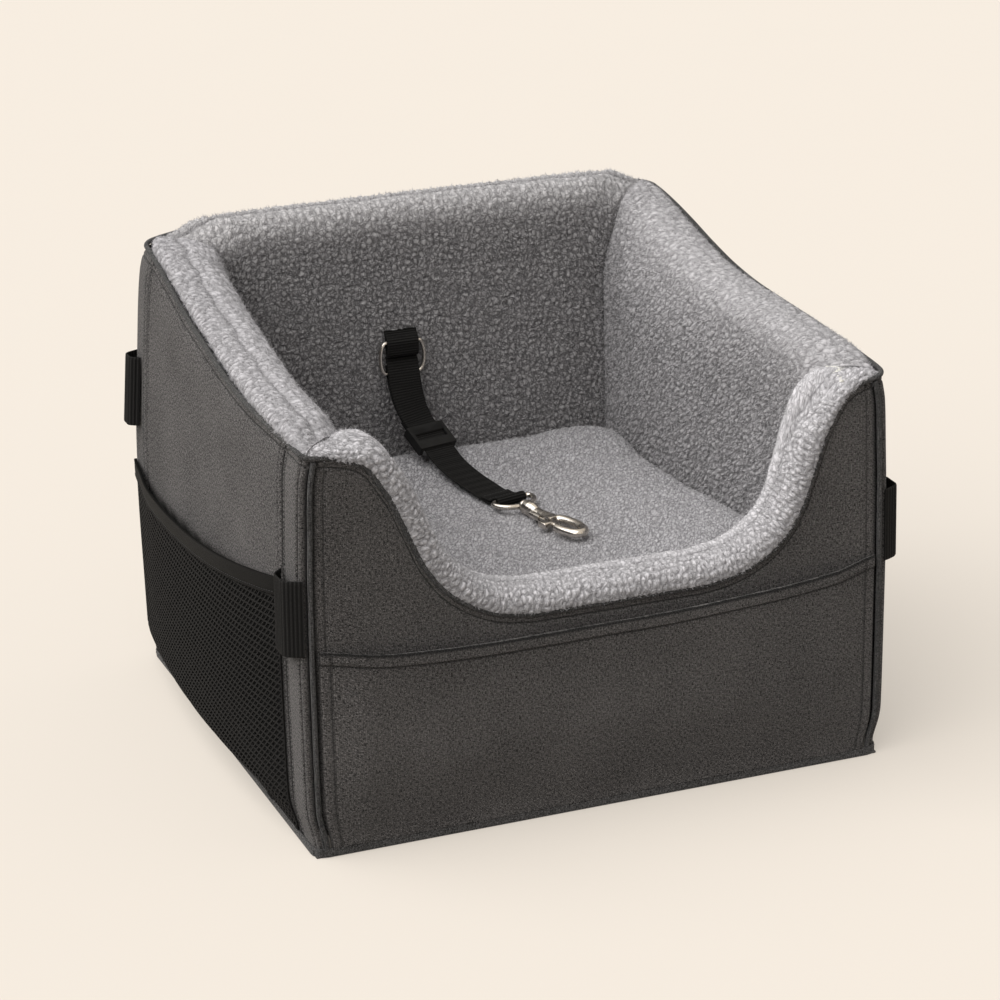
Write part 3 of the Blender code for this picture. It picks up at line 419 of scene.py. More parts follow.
def frames_along(centres: Array, reference: Array, closed: bool = False) -> tuple[Array, Array]:
    """Side and up directions along a route.

    Args:
        centres: the route's points.
        reference: roughly the up direction, for all or for each.
        closed: whether the route runs back into its start.

    Returns:
        The side and the up directions.
    """
    if closed:
        padded = np.vstack([centres[-2], centres, centres[1]])
        forward = unit(padded[2:] - padded[:-2])
    else:
        forward = unit(np.gradient(centres, axis=0))
    side = unit(np.cross(forward, np.broadcast_to(reference, centres.shape)))
    return side, np.cross(side, forward)


def swept(name: str, centres: Array, side: Array, up: Array, outline: Array) -> Obj:
    """A section carried along a route.

    Args:
        name: the piece's name.
        centres: the route's points, the first repeated last where it closes.
        side: direction of the outline's first number, for all or for each point.
        up: direction of the outline's second number.
        outline: the closed section as (points, 2), or (stations, points, 2) where it changes.

    Returns:
        The new object.
    """
    outline = np.broadcast_to(outline, (len(centres),) + outline.shape[-2:])
    side, up = (np.broadcast_to(way, centres.shape)[:, None] for way in (side, up))
    points = centres[:, None] + side * outline[..., 0, None] + up * outline[..., 1, None]
    run = run_lengths(centres)[:, None]
    around = run_lengths(outline[len(centres) // 2])[None, :]
    uv = joined(run, around)
    return cover(name, points, uv)


def round_outline(radius: float, sides: int, flatness: float = 1.0) -> Array:
    """A circle or oval section that repeats its first point."""
    angles = np.linspace(0, 2 * math.pi, sides + 1)
    return radius * joined(np.cos(angles), flatness * np.sin(angles))


def scatter(name: str, seed: bmesh.types.BMesh, centres: Array, axes: Sequence[Array]) -> Obj:
    """Copies one small shape to many places.

    Args:
        name: the piece's name.
        seed: the small shape, which is freed.
        centres: the places.
        axes: for each of the shape's three axes, its direction and size at each place.

    Returns:
        One object that holds all the copies.
    """
    mesh = bpy.data.meshes.new(name)
    seed.to_mesh(mesh)
    seed.free()
    local = read_points(mesh)
    item = link_object(name, mesh)
    modify(item, "ARRAY", count=len(centres), use_relative_offset=False)
    apply_modifiers(item)
    bpy.data.meshes.remove(mesh)
    item.data.name = name
    placed = centres[:, None, :]
    for axis, directions in enumerate(axes):
        placed = placed + local[None, :, axis, None] * directions[:, None, :]
    write_points(item.data, placed)
    return item


# ---------------------------------------------------------------- shader nodes


class Tree:
    """Adds shader nodes to one tree and joins them."""

    def __init__(self, tree: NodeTree) -> None:
        """Keeps the tree that the nodes go into."""
        self.tree = tree

    def add(self, kind: str, links: dict[Any, Any] | None = None, **settings: Any) -> Node:
        """Adds a node.

        Args:
            kind: the node's type, without its ShaderNode prefix.
            links: values or sockets for its inputs, by name or number.
            settings: the node's own settings.

        Returns:
            The node.
        """
        node = self.tree.nodes.new("ShaderNode" + kind)
        for key, value in settings.items():
            setattr(node, key, value)
        return self.feed(node, links or {})

    def feed(self, node: Node, links: dict[Any, Any]) -> Node:
        """Sets a node's inputs.

        Args:
            node: the node.
            links: values or sockets for its inputs, by name or number.

        Returns:
            The same node.
        """
        for key, value in links.items():
            if isinstance(value, Socket):
                self.tree.links.new(value, node.inputs[key])
            else:
                node.inputs[key].default_value = value
        return node

    def math(self, operation: str, *values: Any, clamp: bool = False) -> Socket:
        """The result of a Math node."""
        node = self.add("Math", dict(enumerate(values)), operation=operation, use_clamp=clamp)
        return node.outputs[0]

    def mix(self, share: Any, low: Socket | Triple, high: Socket | Triple) -> Socket:
        """A colour between two colours."""
        low, high = (end if isinstance(end, Socket) else (*end, 1.0) for end in (low, high))
        return self.add("Mix", {0: share, 6: low, 7: high}, data_type="RGBA").outputs[2]

    def grown(self, vector: Socket, size: Any) -> Socket:
        """A vector made longer."""
        return self.add("VectorMath", {0: vector, "Scale": size}, operation="SCALE").outputs[0]

    def bump(self, height: Socket, depth: float) -> Socket:
        """A normal turned by a height."""
        return self.add("Bump", {"Height": height, "Distance": depth, "Strength": 1.0}).outputs[0]

    def span(self, value: Socket, low: float, high: float, to_low: float = 0.0,
             to_high: float = 1.0) -> Socket:
        """A value carried from one span to another and held inside it."""
        links = {0: value, 1: low, 2: high, 3: to_low, 4: to_high}
        return self.add("MapRange", links).outputs[0]

    def noise(self, vector: Socket, scale: float, detail: float = 2.0,
              distortion: float = 0.0) -> Socket:
        """Noise from 0 to 1."""
        links = {"Vector": vector, "Scale": scale, "Detail": detail, "Distortion": distortion}
        return self.add("TexNoise", links).outputs[0]

    def scaled(self, vector: Socket, scale: Triple, turn: float = 0.0) -> Socket:
        """Coordinates turned about Z and then stretched.

        Args:
            vector: the places.
            scale: the scale along each axis.
            turn: the turn round Z.

        Returns:
            The changed places.
        """
        links = {"Vector": vector, "Rotation": (0.0, 0.0, turn)}
        turned = self.add("Mapping", links).outputs[0]
        return self.add("VectorMath", {0: turned, 1: scale}, operation="MULTIPLY").outputs[0]


def node_group(name: str, inputs: Sequence[tuple[str, str, Any]], outputs: Sequence[tuple[str, str]],
               build: Callable[[Tree, Node, Node], None]) -> NodeTree:
    """A shader node group, made once.

    Args:
        name: the group's name.
        inputs: name, socket kind and default of each input.
        outputs: name and socket kind of each output.
        build: adds the nodes between the two ends.

    Returns:
        The group.
    """
    group = bpy.data.node_groups.get(name)
    if group is None:
        group = bpy.data.node_groups.new(name, "ShaderNodeTree")
        for label, kind, value in inputs:
            socket = group.interface.new_socket(label, in_out="INPUT", socket_type="NodeSocket" + kind)
            if value is not None:
                socket.default_value = value
        for label, kind in outputs:
            group.interface.new_socket(label, in_out="OUTPUT", socket_type="NodeSocket" + kind)
        tree = Tree(group)
        build(tree, group.nodes.new("NodeGroupInput"), group.nodes.new("NodeGroupOutput"))
    return group


def weave_group() -> NodeTree:
    """Plain weave of heather yarn: height of the threads and how light each one is.

    Returns:
        The node group.
    """

    def build(tree: Tree, start: Node, end: Node) -> None:
        """Wires the group.

        Args:
            tree: the group's nodes.
            start: its inputs.
            end: its outputs.
        """
        place = tree.grown(start.outputs["Place"], start.outputs["Threads"])
        wobble = tree.noise(place, 0.12, 2.0)
        split = tree.add("SeparateXYZ", {0: place})
        across = tree.math("ADD", split.outputs[0], tree.math("MULTIPLY", wobble, 1.5))
        along = tree.math("ADD", split.outputs[1], tree.math("MULTIPLY", wobble, -1.5))
        ridges = [tree.math("ABSOLUTE", tree.math("SINE", tree.math("MULTIPLY", value, math.pi)))
                  for value in (across, along)]
        cells = [tree.math("FLOOR", value) for value in (across, along)]
        parity = tree.math("PINGPONG", tree.math("ADD", *cells), 1.0)

        def woven(warp: Socket, weft: Socket) -> Socket:
            """The yarn that lies on top in each cell."""
            under = tree.math("MULTIPLY", tree.math("SUBTRACT", 1.0, parity), weft)
            return tree.math("ADD", tree.math("MULTIPLY", parity, warp), under)

        warp = tree.noise(tree.scaled(place, (1.2, 0.5, 1.0)), 1.0, 1.0)
        weft = tree.noise(tree.scaled(place, (0.5, 1.2, 1.0)), 1.0, 1.0)
        yarn = tree.span(woven(warp, weft), 0.32, 0.72)
        cloudy = tree.span(tree.noise(place, 0.02, 2.0), 0.3, 0.7, -0.07, 0.07)
        tree.feed(end, {"Height": woven(*ridges), "Shade": tree.math("ADD", yarn, cloudy)})

    return node_group("heather_weave", [("Place", "Vector", None), ("Threads", "Float", 1200.0)],
                      [("Height", "Float"), ("Shade", "Float")], build)


def pile_group() -> NodeTree:
    """Curled pile: height of the curls, and a shade that is painted darker in the crevices between
    them.

    Returns:
        The node group.
    """

    def build(tree: Tree, start: Node, end: Node) -> None:
        """Wires the group.

        Args:
            tree: the group's nodes.
            start: its inputs.
            end: its outputs.
        """
        place = tree.grown(start.outputs["Place"], start.outputs["Curls"])
        bend = tree.add("TexNoise", {"Vector": place, "Scale": 0.9, "Detail": 2.0}).outputs["Color"]
        bend = tree.add("VectorMath", {0: bend, 1: (0.5, 0.5, 0.5)}, operation="SUBTRACT").outputs[0]
        amount = tree.grown(bend, start.outputs["Twist"])
        bent = tree.add("VectorMath", {0: place, 1: amount}, operation="ADD").outputs[0]
        edge = tree.add("TexVoronoi", {"Vector": bent, "Scale": 1.0},
                        feature="DISTANCE_TO_EDGE").outputs["Distance"]
        lump = tree.math("POWER", tree.span(edge, 0.0, 0.38), 0.55)
        strands = tree.noise(bent, 3.4, 3.0, 0.6)
        height = tree.math("ADD", tree.math("MULTIPLY", lump, 0.8),
                           tree.math("MULTIPLY", strands, 0.25))
        shade = tree.math("MULTIPLY", tree.span(edge, 0.0, 0.17),
                          tree.span(strands, 0.3, 0.7, 0.72, 1.0))
        tree.feed(end, {"Height": height, "Shade": shade})

    return node_group("curled_pile",
                      [("Place", "Vector", None), ("Curls", "Float", 280.0), ("Twist", "Float", 1.0)],
                      [("Height", "Float"), ("Shade", "Float")], build)


def grain_group() -> NodeTree:
    """Fine grain and faint handling marks, for moulded, cast and pressed pieces.

    Returns:
        The node group.
    """

    def build(tree: Tree, start: Node, end: Node) -> None:
        """Wires the group.

        Args:
            tree: the group's nodes.
            start: its inputs.
            end: its outputs.
        """
        grown = tree.grown(start.outputs["Place"], start.outputs["Size"])
        marks = tree.span(tree.noise(grown, 0.06, 5.0, 0.8), 0.42, 0.66)
        tree.feed(end, {"Grain": tree.noise(grown, 1.0, 3.0), "Marks": marks})

    return node_group("fine_grain", [("Place", "Vector", None), ("Size", "Float", 2000.0)],
                      [("Grain", "Float"), ("Marks", "Float")], build)


@dataclass(frozen=True)
class Finish:
    """A material that is made once, when the first piece asks for it."""

    name: str
    slot: Slot

    def material(self) -> Material:
        """The finished material.

        Returns:
            The material.
        """
        found = bpy.data.materials.get(self.name)
        if found is None:
            found = bpy.data.materials.new(self.name)
            found.use_nodes = True
            tree = Tree(found.node_tree)
            self.dress(tree, found.node_tree.nodes["Principled BSDF"])
        return found

    def dress(self, tree: Tree, shader: Node) -> None:
        """Adds the nodes that feed the shader."""
        raise NotImplementedError

    def place(self, tree: Tree, own_map: bool) -> Socket:
        """The piece's own cloth map, or its place in the model.

        Args:
            tree: the material's nodes.
            own_map: whether the piece has a map of its own.

        Returns:
            The places.
        """
        if own_map:
            return tree.add("UVMap", uv_map="cloth").outputs[0]
        return tree.add("TexCoord").outputs["Object"]

    def weave(self, tree: Tree, place: Socket, threads: float) -> tuple[Socket, Socket]:
        """The weave's height and how light its yarns are."""
        node = tree.add("Group", {"Place": place, "Threads": threads}, node_tree=weave_group())
        return node.outputs["Height"], node.outputs["Shade"]


@dataclass(frozen=True)
class Cloth(Finish):
    """Woven cloth with light and dark yarns."""

    dark: Triple = (0.013, 0.0122, 0.0118)
    light: Triple = (0.250, 0.231, 0.220)
    threads: float = 920.0
    depth: float = 0.0005
    sheen: float = 0.12
    gloss: float = 0.2
    own_map: bool = True
    marks: tuple[str, ...] = ()
    # Colour painted into the seam grooves as painted shade, and behind the net, where it is partly the
    # darker cloth and partly painted shade.
    seam: Triple = (0.004, 0.004, 0.004)

    def dress(self, tree: Tree, shader: Node) -> None:
        """Adds the weave with painted shade in its valleys, its yarn colours, painted shade in its
        seams, and the dark backing behind a net, partly darker cloth and partly painted shade.

        Args:
            tree: the material's nodes.
            shader: the node that they feed.
        """
        height, yarn = self.weave(tree, self.place(tree, self.own_map), self.threads)
        # Painted shade: the weave's low spots between the threads are darkened.
        shade = tree.math("MULTIPLY", yarn, tree.span(height, 0.0, 1.0, 0.55, 1.0))
        colour = tree.mix(shade, self.dark, self.light)
        for mark in self.marks:
            share = tree.add("Attribute", attribute_name=mark).outputs["Fac"]
            colour = tree.mix(share, colour, self.seam)
        tree.feed(shader, {
            "Base Color": colour, "Roughness": tree.span(yarn, 0.0, 1.0, 0.92, 0.78),
            "Specular IOR Level": self.gloss, "Sheen Weight": self.sheen, "Sheen Roughness": 0.5,
            "Normal": tree.bump(height, self.depth)})


@dataclass(frozen=True)
class Fleece(Finish):
    """Curly pile, which can be combed one way."""

    low: Triple = (0.155, 0.148, 0.150)
    high: Triple = (0.70, 0.675, 0.685)
    curls: float = 270.0
    twist: float = 1.7
    # How much the fleece is darkened deep down the walls, as painted shade.
    wall_painted_shade: float = 0.74
    stretch: tuple[float, float] = (1.0, 1.0)
    turn: float = 0.0
    depth: float = 0.0008
    rim_detail: float = 0.50
    own_map: bool = True

    def dress(self, tree: Tree, shader: Node) -> None:
        """Adds the curls, paints shade into the crevices between them and between the big clumps, and
        paints shade deeper down the walls.

        Args:
            tree: the material's nodes.
            shader: the node that they feed.
        """
        place = tree.scaled(self.place(tree, self.own_map), (*self.stretch, 1.0), self.turn)
        pile = tree.add("Group", {"Place": place, "Curls": self.curls, "Twist": self.twist},
                        node_tree=pile_group())
        clump, wall = (tree.add("Attribute", attribute_name=mark).outputs["Fac"]
                       for mark in ("pile", "wall"))
        # Painted shade in the crevices between the curls, weaker on the rim, and between the big
        # clumps.
        crevice_painted_shade = tree.math("SUBTRACT", 1.0, pile.outputs["Shade"])
        crevice_painted_shade = tree.math("MULTIPLY", crevice_painted_shade, tree.span(wall, 0.0, 1.0, self.rim_detail, 1.0))
        shade = tree.math("MULTIPLY", tree.math("SUBTRACT", 1.0, crevice_painted_shade),
                          tree.span(clump, 0.0, 1.0, 0.12, 1.0))
        colour = tree.mix(shade, self.low, self.high)
        # Painted shade: darker further down inside the walls.
        tree.feed(shader, {
            "Base Color": tree.mix(tree.math("MULTIPLY", wall, 1 - self.wall_painted_shade), colour, BLACK),
            "Roughness": tree.span(shade, 0.0, 1.0, 1.0, 0.88), "Specular IOR Level": 0.1,
            "Sheen Weight": 0.15, "Sheen Roughness": 0.6,
            "Normal": tree.bump(pile.outputs["Height"], self.depth)})


@dataclass(frozen=True)
class Webbing(Finish):
    """Woven tape with fine ribs that follow its own length."""

    dark: Triple = (0.006, 0.006, 0.006)
    light: Triple = (0.035, 0.034, 0.033)
    ribs: float = 900.0
    depth: float = 0.00018
    rough: float = 0.72
    rib_pitch: float = 0.0
    gloss: float = 0.14

    def dress(self, tree: Tree, shader: Node) -> None:
        """Adds the yarns, and paints shade into the valleys between the ribs.

        Args:
            tree: the material's nodes.
            shader: the node that they feed.
        """
        place = self.place(tree, True)
        height, shade = self.weave(tree, place, self.ribs)
        if self.rib_pitch:
            # Painted shade in the valleys between the ribs.
            turns = tree.math("MULTIPLY", tree.add("SeparateXYZ", {0: place}).outputs[0],
                              2 * math.pi / self.rib_pitch)
            valley_painted_shade = tree.span(tree.math("COSINE", turns), -1.0, 1.0, 0.05, 1.0)
            shade = tree.math("MULTIPLY", tree.span(shade, 0.0, 1.0, 0.5, 1.0), valley_painted_shade)
        tree.feed(shader, {
            "Base Color": tree.mix(shade, self.dark, self.light),
            "Roughness": tree.span(height, 0.0, 1.0, self.rough + 0.2, self.rough),
            "Specular IOR Level": self.gloss, "Normal": tree.bump(height, self.depth)})


@dataclass(frozen=True)
class Pressed(Finish):
    """Moulded, cast or pressed stuff with a fine grain and faint marks."""

    colour: Triple = (0.02, 0.02, 0.02)
    worn: Triple = (0.05, 0.05, 0.05)
    rough: float = 0.45
    metallic: float = 0.0
    grain: float = 2500.0
    depth: float = 0.00004
    gloss: float = 0.5

    def dress(self, tree: Tree, shader: Node) -> None:
        """Adds the grain and the marks.

        Args:
            tree: the material's nodes.
            shader: the node that they feed.
        """
        node = tree.add("Group", {"Place": self.place(tree, False), "Size": self.grain},
                        node_tree=grain_group())
        grain, marks = node.outputs["Grain"], node.outputs["Marks"]
        rough = tree.math("ADD", tree.span(marks, 0.0, 1.0, self.rough, self.rough + 0.12),
                          tree.span(grain, 0.3, 0.7, -0.03, 0.03))
        tree.feed(shader, {
            "Base Color": tree.mix(marks, self.colour, self.worn), "Roughness": rough,
            "Metallic": self.metallic, "Specular IOR Level": self.gloss,
            "Normal": tree.bump(grain, self.depth)})


SHELL_CLOTH = Cloth("shell_heather", Slot.SHELL, marks=("seam",))
# The side cloth carries the painted seam shade and the dark backing behind the nets, partly darker
# cloth and partly painted shade.
SIDE_CLOTH = Cloth("side_heather", Slot.SHELL, light=(0.300, 0.281, 0.271), sheen=0.04, gloss=0.1,
                   marks=("seam", "backing"))
BASE_CLOTH = Cloth("base_heather", Slot.SHELL, own_map=False)
PIPING_CLOTH = Cloth("piping_heather", Slot.SHELL, dark=(0.02, 0.02, 0.02), light=(0.13, 0.124, 0.12),
                     own_map=False)
BOUND_EDGE = Cloth("bound_edge", Slot.BINDING, dark=(0.018, 0.0175, 0.017), light=(0.18, 0.171, 0.166),
                   own_map=False)
SATIN_TAPE = Webbing("satin_tape", Slot.BINDING, dark=(0.003, 0.003, 0.003),
                     light=(0.008, 0.0078, 0.0075), ribs=2600.0, depth=0.00004, rough=0.6, gloss=0.08)
LOOP_WEBBING = Webbing("loop_webbing", Slot.WEBBING, dark=(0.003, 0.003, 0.003),
                       light=(0.024, 0.023, 0.022), rib_pitch=0.0027)
STRAP_WEBBING = Webbing("strap_webbing", Slot.WEBBING, dark=(0.002, 0.002, 0.002),
                        light=(0.026, 0.025, 0.024), ribs=1300.0, rib_pitch=0.0020)
NET_THREAD = Pressed("net_thread", Slot.NET, colour=(0.015, 0.0145, 0.014), worn=(0.024, 0.023, 0.022),
                     rough=0.85, grain=4000.0, depth=0.0001, gloss=0.1)
SEAM_THREAD = Pressed("seam_thread", Slot.BINDING, colour=(0.02, 0.02, 0.02), worn=(0.05, 0.05, 0.05),
                      rough=0.7, grain=6000.0, depth=0.0001)
NICKEL = Pressed("nickel_plate", Slot.NICKEL, colour=(0.66, 0.62, 0.57), worn=(0.50, 0.47, 0.43),
                 rough=0.2, metallic=1.0, grain=1800.0, depth=0.00002)
SLIDER_PLASTIC = Pressed("slider_plastic_grain", Slot.PLASTIC, colour=(0.004, 0.004, 0.004),
                         worn=(0.010, 0.010, 0.010), rough=0.5, gloss=0.25)
SPRING_STEEL = Pressed("spring_wire", Slot.SPRING, colour=(0.5, 0.5, 0.51), worn=(0.4, 0.4, 0.4),
                       rough=0.3, metallic=1.0)
BOARD = Pressed("grey_board", Slot.BOARD, colour=(0.33, 0.31, 0.28), worn=(0.24, 0.22, 0.2), rough=0.7,
                grain=900.0, depth=0.0002)
OPEN_FOAM = Pressed("open_foam", Slot.FOAM,
                    colour=(0.78, 0.76, 0.69), worn=(0.62, 0.6, 0.53), rough=0.9, grain=1100.0,
                    depth=0.0006)
# Each wall and the cushion get their own copy of the sherpa, set lighter or darker to match how light
# falls there: painted light and shade. Their stretch, turn and curls follow the real combing.
CUSHION_FLEECE = Fleece("cushion_fleece", Slot.SHERPA, curls=400.0, stretch=(1.0, 0.42), turn=0.6,
                        low=(0.22, 0.21, 0.216), high=(0.70, 0.678, 0.69), wall_painted_shade=0.80,
                        own_map=False)
REAR_FLEECE = Fleece("rear_fleece", Slot.SHERPA, high=(0.62, 0.596, 0.59), wall_painted_shade=0.70)
RIGHT_FLEECE = Fleece("right_fleece", Slot.SHERPA, stretch=(1.0, 0.38), turn=0.8, curls=300.0,
                      high=(0.58, 0.558, 0.562), wall_painted_shade=0.72)
LEFT_FLEECE = Fleece("left_fleece", Slot.SHERPA, stretch=(1.0, 0.38), turn=-0.8, curls=300.0,
                     high=(0.60, 0.577, 0.588), wall_painted_shade=0.70)
FRONT_FLEECE = Fleece("front_fleece", Slot.SHERPA, high=(0.76, 0.733, 0.744))
FUZZ = Fleece("loose_fibres", Slot.SHERPA, low=(0.46, 0.445, 0.45), high=(0.62, 0.6, 0.61),
              own_map=False)


def fit(item: Obj, finish: Finish, body: Body, *nodes: str) -> Obj:
    """Gives a piece its finish, the body that carries it and the CAD nodes that it stands for.

    Args:
        item: the piece.
        finish: its finish, which also names its slot in the record.
        body: what it moves with.
        nodes: the CAD nodes that it replaces.

    Returns:
        The same piece.
    """
    item.data.materials.clear()
    item.data.materials.append(finish.material())
    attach(item, body.value)
    if nodes:
        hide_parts(*nodes)
    log.info("%s: %d faces on %s", item.name, len(item.data.polygons), body.value)
    return item


# ---------------------------------------------------------------- the tub's form


@dataclass(frozen=True)
class TubShape:
    """Sizes of the tub over its cloth, in metres, and the lines that its walls follow."""

    width: float = 0.420
    depth: float = 0.383
    front_height: float = 0.284
    rear_height: float = 0.334
    scoop_height: float = 0.1525
    side_lean: float = 0.0067
    end_lean: float = 0.0030
    corner_radius: float = 0.008
    strip_depth: float = 0.0315
    side_bulge: float = 0.005
    end_bulge: float = 0.0015
    gap: float = 0.0003
    cloth: float = 0.0020
    lining: float = 0.0080
    wall: float = 0.0380
    rim_rise: float = 0.0105
    rim_drop: float = 0.0120
    rim_hem: float = 0.0060
    base_board: float = 0.0030
    binding_height: float = 0.0060
    binding_thickness: float = 0.0012
    binding_lift: float = 0.0005
    riser: float = 0.0850
    piping_radius: float = 0.0018
    piping_inset: float = 0.0002
    scoop_sink: float = 0.0040
    rear_thickening: float = 0.0190
    rim_swell: float = 0.0040
    foot_tuck: float = 0.0050
    scoop_shift: SmoothCurve = SmoothCurve((
        (0.0, 0.0115), (0.12, 0.0115), (0.165, 0.0068), (0.185, 0.0045), (0.21, 0.0)))
    front_swell: SmoothCurve = SmoothCurve((
        (0.0, 0.0055), (0.2, 0.0068), (0.45, 0.0070), (0.7, 0.0062), (0.82, 0.0050), (0.93, 0.0036),
        (0.985, 0.0008), (1.0, -0.0003)))
    rear_swell: SmoothCurve = SmoothCurve((
        (0.0, 0.0070), (0.2, 0.0100), (0.4, 0.0129), (0.565, 0.0143), (0.77, 0.0117), (0.875, 0.0101),
        (0.955, 0.0078), (0.99, 0.0047), (1.0, 0.0022)))
    side_line: SmoothCurve = SmoothCurve((
        (-1.0, -0.05), (-0.93, -0.01), (-0.78, 0.01), (-0.55, 0.035), (-0.28, 0.075), (0.0, 0.145),
        (0.25, 0.265), (0.45, 0.415), (0.62, 0.575), (0.8, 0.725), (0.92, 0.8), (1.0, 0.83)))
    rear_line: SmoothCurve = SmoothCurve((
        (0.0, 1.0), (0.55, 0.995), (0.82, 0.965), (0.93, 0.9), (1.0, 0.83)))
    scoop_line: SmoothCurve = SmoothCurve((
        (0.0, 0.0), (0.28, 0.0), (0.345, 0.01), (0.42, 0.032), (0.482, 0.07), (0.54, 0.122),
        (0.61, 0.212), (0.672, 0.348), (0.725, 0.548), (0.768, 0.723), (0.798, 0.812),
        (0.825, 0.885), (0.853, 0.925), (0.9, 0.955), (0.953, 0.972), (1.0, 0.981)))

    @property
    def half_width(self) -> float:
        """Half the width over the cloth."""
        return self.width / 2

    @property
    def half_depth(self) -> float:
        """Half the depth over the cloth."""
        return self.depth / 2

    @property
    def wall_base(self) -> float:
        """Where the walls stand on the base cloth."""
        return self.cloth + self.gap

    @property
    def layer_base(self) -> float:
        """Where the inner layers stand on the base board."""
        return self.wall_base + self.base_board + self.gap

    @property
    def board_inset(self) -> float:
        """From the outside of the cloth to the board."""
        return self.cloth + self.gap

    @property
    def foot(self) -> float:
        """Where the pieces on the walls end, over the base's binding."""
        return self.binding_lift + self.binding_height + self.gap

    @property
    def cavity_half_width(self) -> float:
        """Half the width inside the linings."""
        return self.half_width - self.wall

    @property
    def cavity_half_depth(self) -> float:
        """Half the depth inside the linings."""
        return self.half_depth - self.wall

    @property
    def seam_distance(self) -> float:
        """From the middle to the side seams."""
        return self.half_depth - self.strip_depth

    def rim(self, side: Side, along: Array) -> Array:
        """Height of a wall's cloth edge.

        Args:
            side: the wall.
            along: distances along it from the middle.

        Returns:
            One height for each distance.
        """
        end_rise = self.rear_height - self.front_height
        if side is Side.FRONT:
            low = self.scoop_height - self.scoop_sink
            share = np.abs(along - self.scoop_shift.at(np.abs(along))) / self.half_width
            return low + (self.front_height - low) * self.scoop_line.at(share)
        if side is Side.REAR:
            return self.front_height + end_rise * self.rear_line.at(np.abs(along) / self.half_width)
        return self.front_height + end_rise * self.side_line.at(along / self.half_depth)

    def rim_normal(self, side: Side, along: Array, upright: Array | float = 0.0) -> tuple[Array, Array]:
        """Direction square to the rim, along the wall and up. Only the scoop turns it.

        Args:
            side: the wall.
            along: distances along it.
            upright: how far it turns back upright, from 0 to 1.

        Returns:
            The parts along the wall and up.
        """
        if side is not Side.FRONT:
            return np.zeros_like(along), np.ones_like(along)
        step = self.half_width * 0.0025
        slope = (self.rim(side, along + step) - self.rim(side, along - step)) / (2 * step)
        slope = slope * (1 - upright)
        length = np.hypot(1.0, slope)
        return -slope / length, 1 / length

    def place(self, side: Side, along: Array, inset: Array, height: Array) -> Array:
        """Points of one wall.

        Args:
            side: the wall.
            along: distances along it.
            inset: distances in from the outer cloth.
            height: heights.

        Returns:
            Points as (..., 3).
        """
        if side is Side.FRONT:
            return joined(along, inset - self.half_depth, height)
        if side is Side.REAR:
            return joined(along, self.half_depth - inset, height)
        sign = -1 if side is Side.LEFT else 1
        return joined(sign * (self.half_width - inset), along, height)

    def lean(self, points: Array) -> Array:
        """Draws points in with their height, as the walls lean in, the sides only at the rear.

        Args:
            points: the points.

        Returns:
            The moved points.
        """
        share = points[..., 2] / self.front_height
        narrow = 1 - self.side_lean / self.half_width * share * ease((points[..., 1] + 0.10) / 0.15)
        shorten = 1 - self.end_lean / self.half_depth * share
        return points * joined(narrow, shorten, np.ones_like(share))

    def swell(self, points: Array) -> Array:
        """Leans points of the outer cloth and pushes its sides out over their foam.

        Args:
            points: the points.

        Returns:
            The moved points.
        """
        x, y, z = np.moveaxis(points, -1, 0)
        share = np.clip(z / self.rim(Side.LEFT, np.clip(y, -self.half_depth, self.half_depth)), 0, 1)
        rearward = np.clip((y + self.half_depth) / self.depth, 0, 1)
        amount = mix(self.front_swell.at(share), self.rear_swell.at(share), rearward)
        amount = amount + self.rim_swell * np.clip(1 - (y / self.half_depth) ** 2, 0, 1) * share**4
        tuck = self.foot_tuck * (1 - ease((z - 0.008) / 0.03)) ** 1.5
        placed = self.lean(points)
        placed[..., 0] += np.sign(x) * (amount - tuck) * ease((np.abs(x) - 0.165) / 0.045)
        placed[..., 1] -= np.sign(y) * 0.2 * tuck * ease((np.abs(y) - 0.15) / 0.04)
        return placed

    def thickening(self, along: Array) -> Array:
        """How much thicker the side linings are than the others at places along the side walls."""
        return self.rear_thickening * ease((along + 0.12) / 0.27)

    def bulge(self, side: Side, along: Array, height: Array) -> Array:
        """How far the stuffed wall pushes its cloth out.

        Args:
            side: the wall.
            along: distances along it.
            height: heights over the ground.

        Returns:
            Distances outwards.
        """
        reach, amount = {
            Side.FRONT: (self.half_width, 0.0),
            Side.REAR: (self.half_width - self.corner_radius, self.end_bulge),
            Side.LEFT: (self.seam_distance, self.side_bulge),
            Side.RIGHT: (self.seam_distance, self.side_bulge)}[side]
        across = np.maximum(0.0, 1 - (along / reach) ** 2)
        return amount * across * np.sin(math.pi * np.minimum(height / self.rim(side, along), 1.0))

    def corner(self, sign_x: int, sign_y: int, inset: float, angle: Array, height: Array) -> Array:
        """Points on a corner's arc, from the end wall at 0 round to the side wall.

        Args:
            sign_x: the corner's side of the seat.
            sign_y: its end of the seat.
            inset: the distance in from the cloth.
            angle: the angle round the corner.
            height: the heights.

        Returns:
            Points as (..., 3).
        """
        radius = self.corner_radius - inset
        x = self.half_width - self.corner_radius + radius * np.sin(angle)
        y = self.half_depth - self.corner_radius + radius * np.cos(angle)
        return joined(sign_x * x, sign_y * y, height)

    def corner_height(self, sign_y: int, angle: Array) -> Array:
        """Rim height round a corner, from the end wall's to the side wall's.

        Args:
            sign_y: its end of the seat.
            angle: the angle round the corner.

        Returns:
            Heights.
        """
        end = Side.FRONT if sign_y < 0 else Side.REAR
        start = self.rim(end, np.array(self.half_width - self.corner_radius))
        stop = self.rim(Side.LEFT, np.array(sign_y * (self.half_depth - self.corner_radius)))
        return mix(start, stop, angle / (math.pi / 2))


TUB = TubShape()
CORNERS = (("front_left", -1, -1), ("front_right", 1, -1), ("rear_left", -1, 1), ("rear_right", 1, 1))


# ---------------------------------------------------------------- stitches


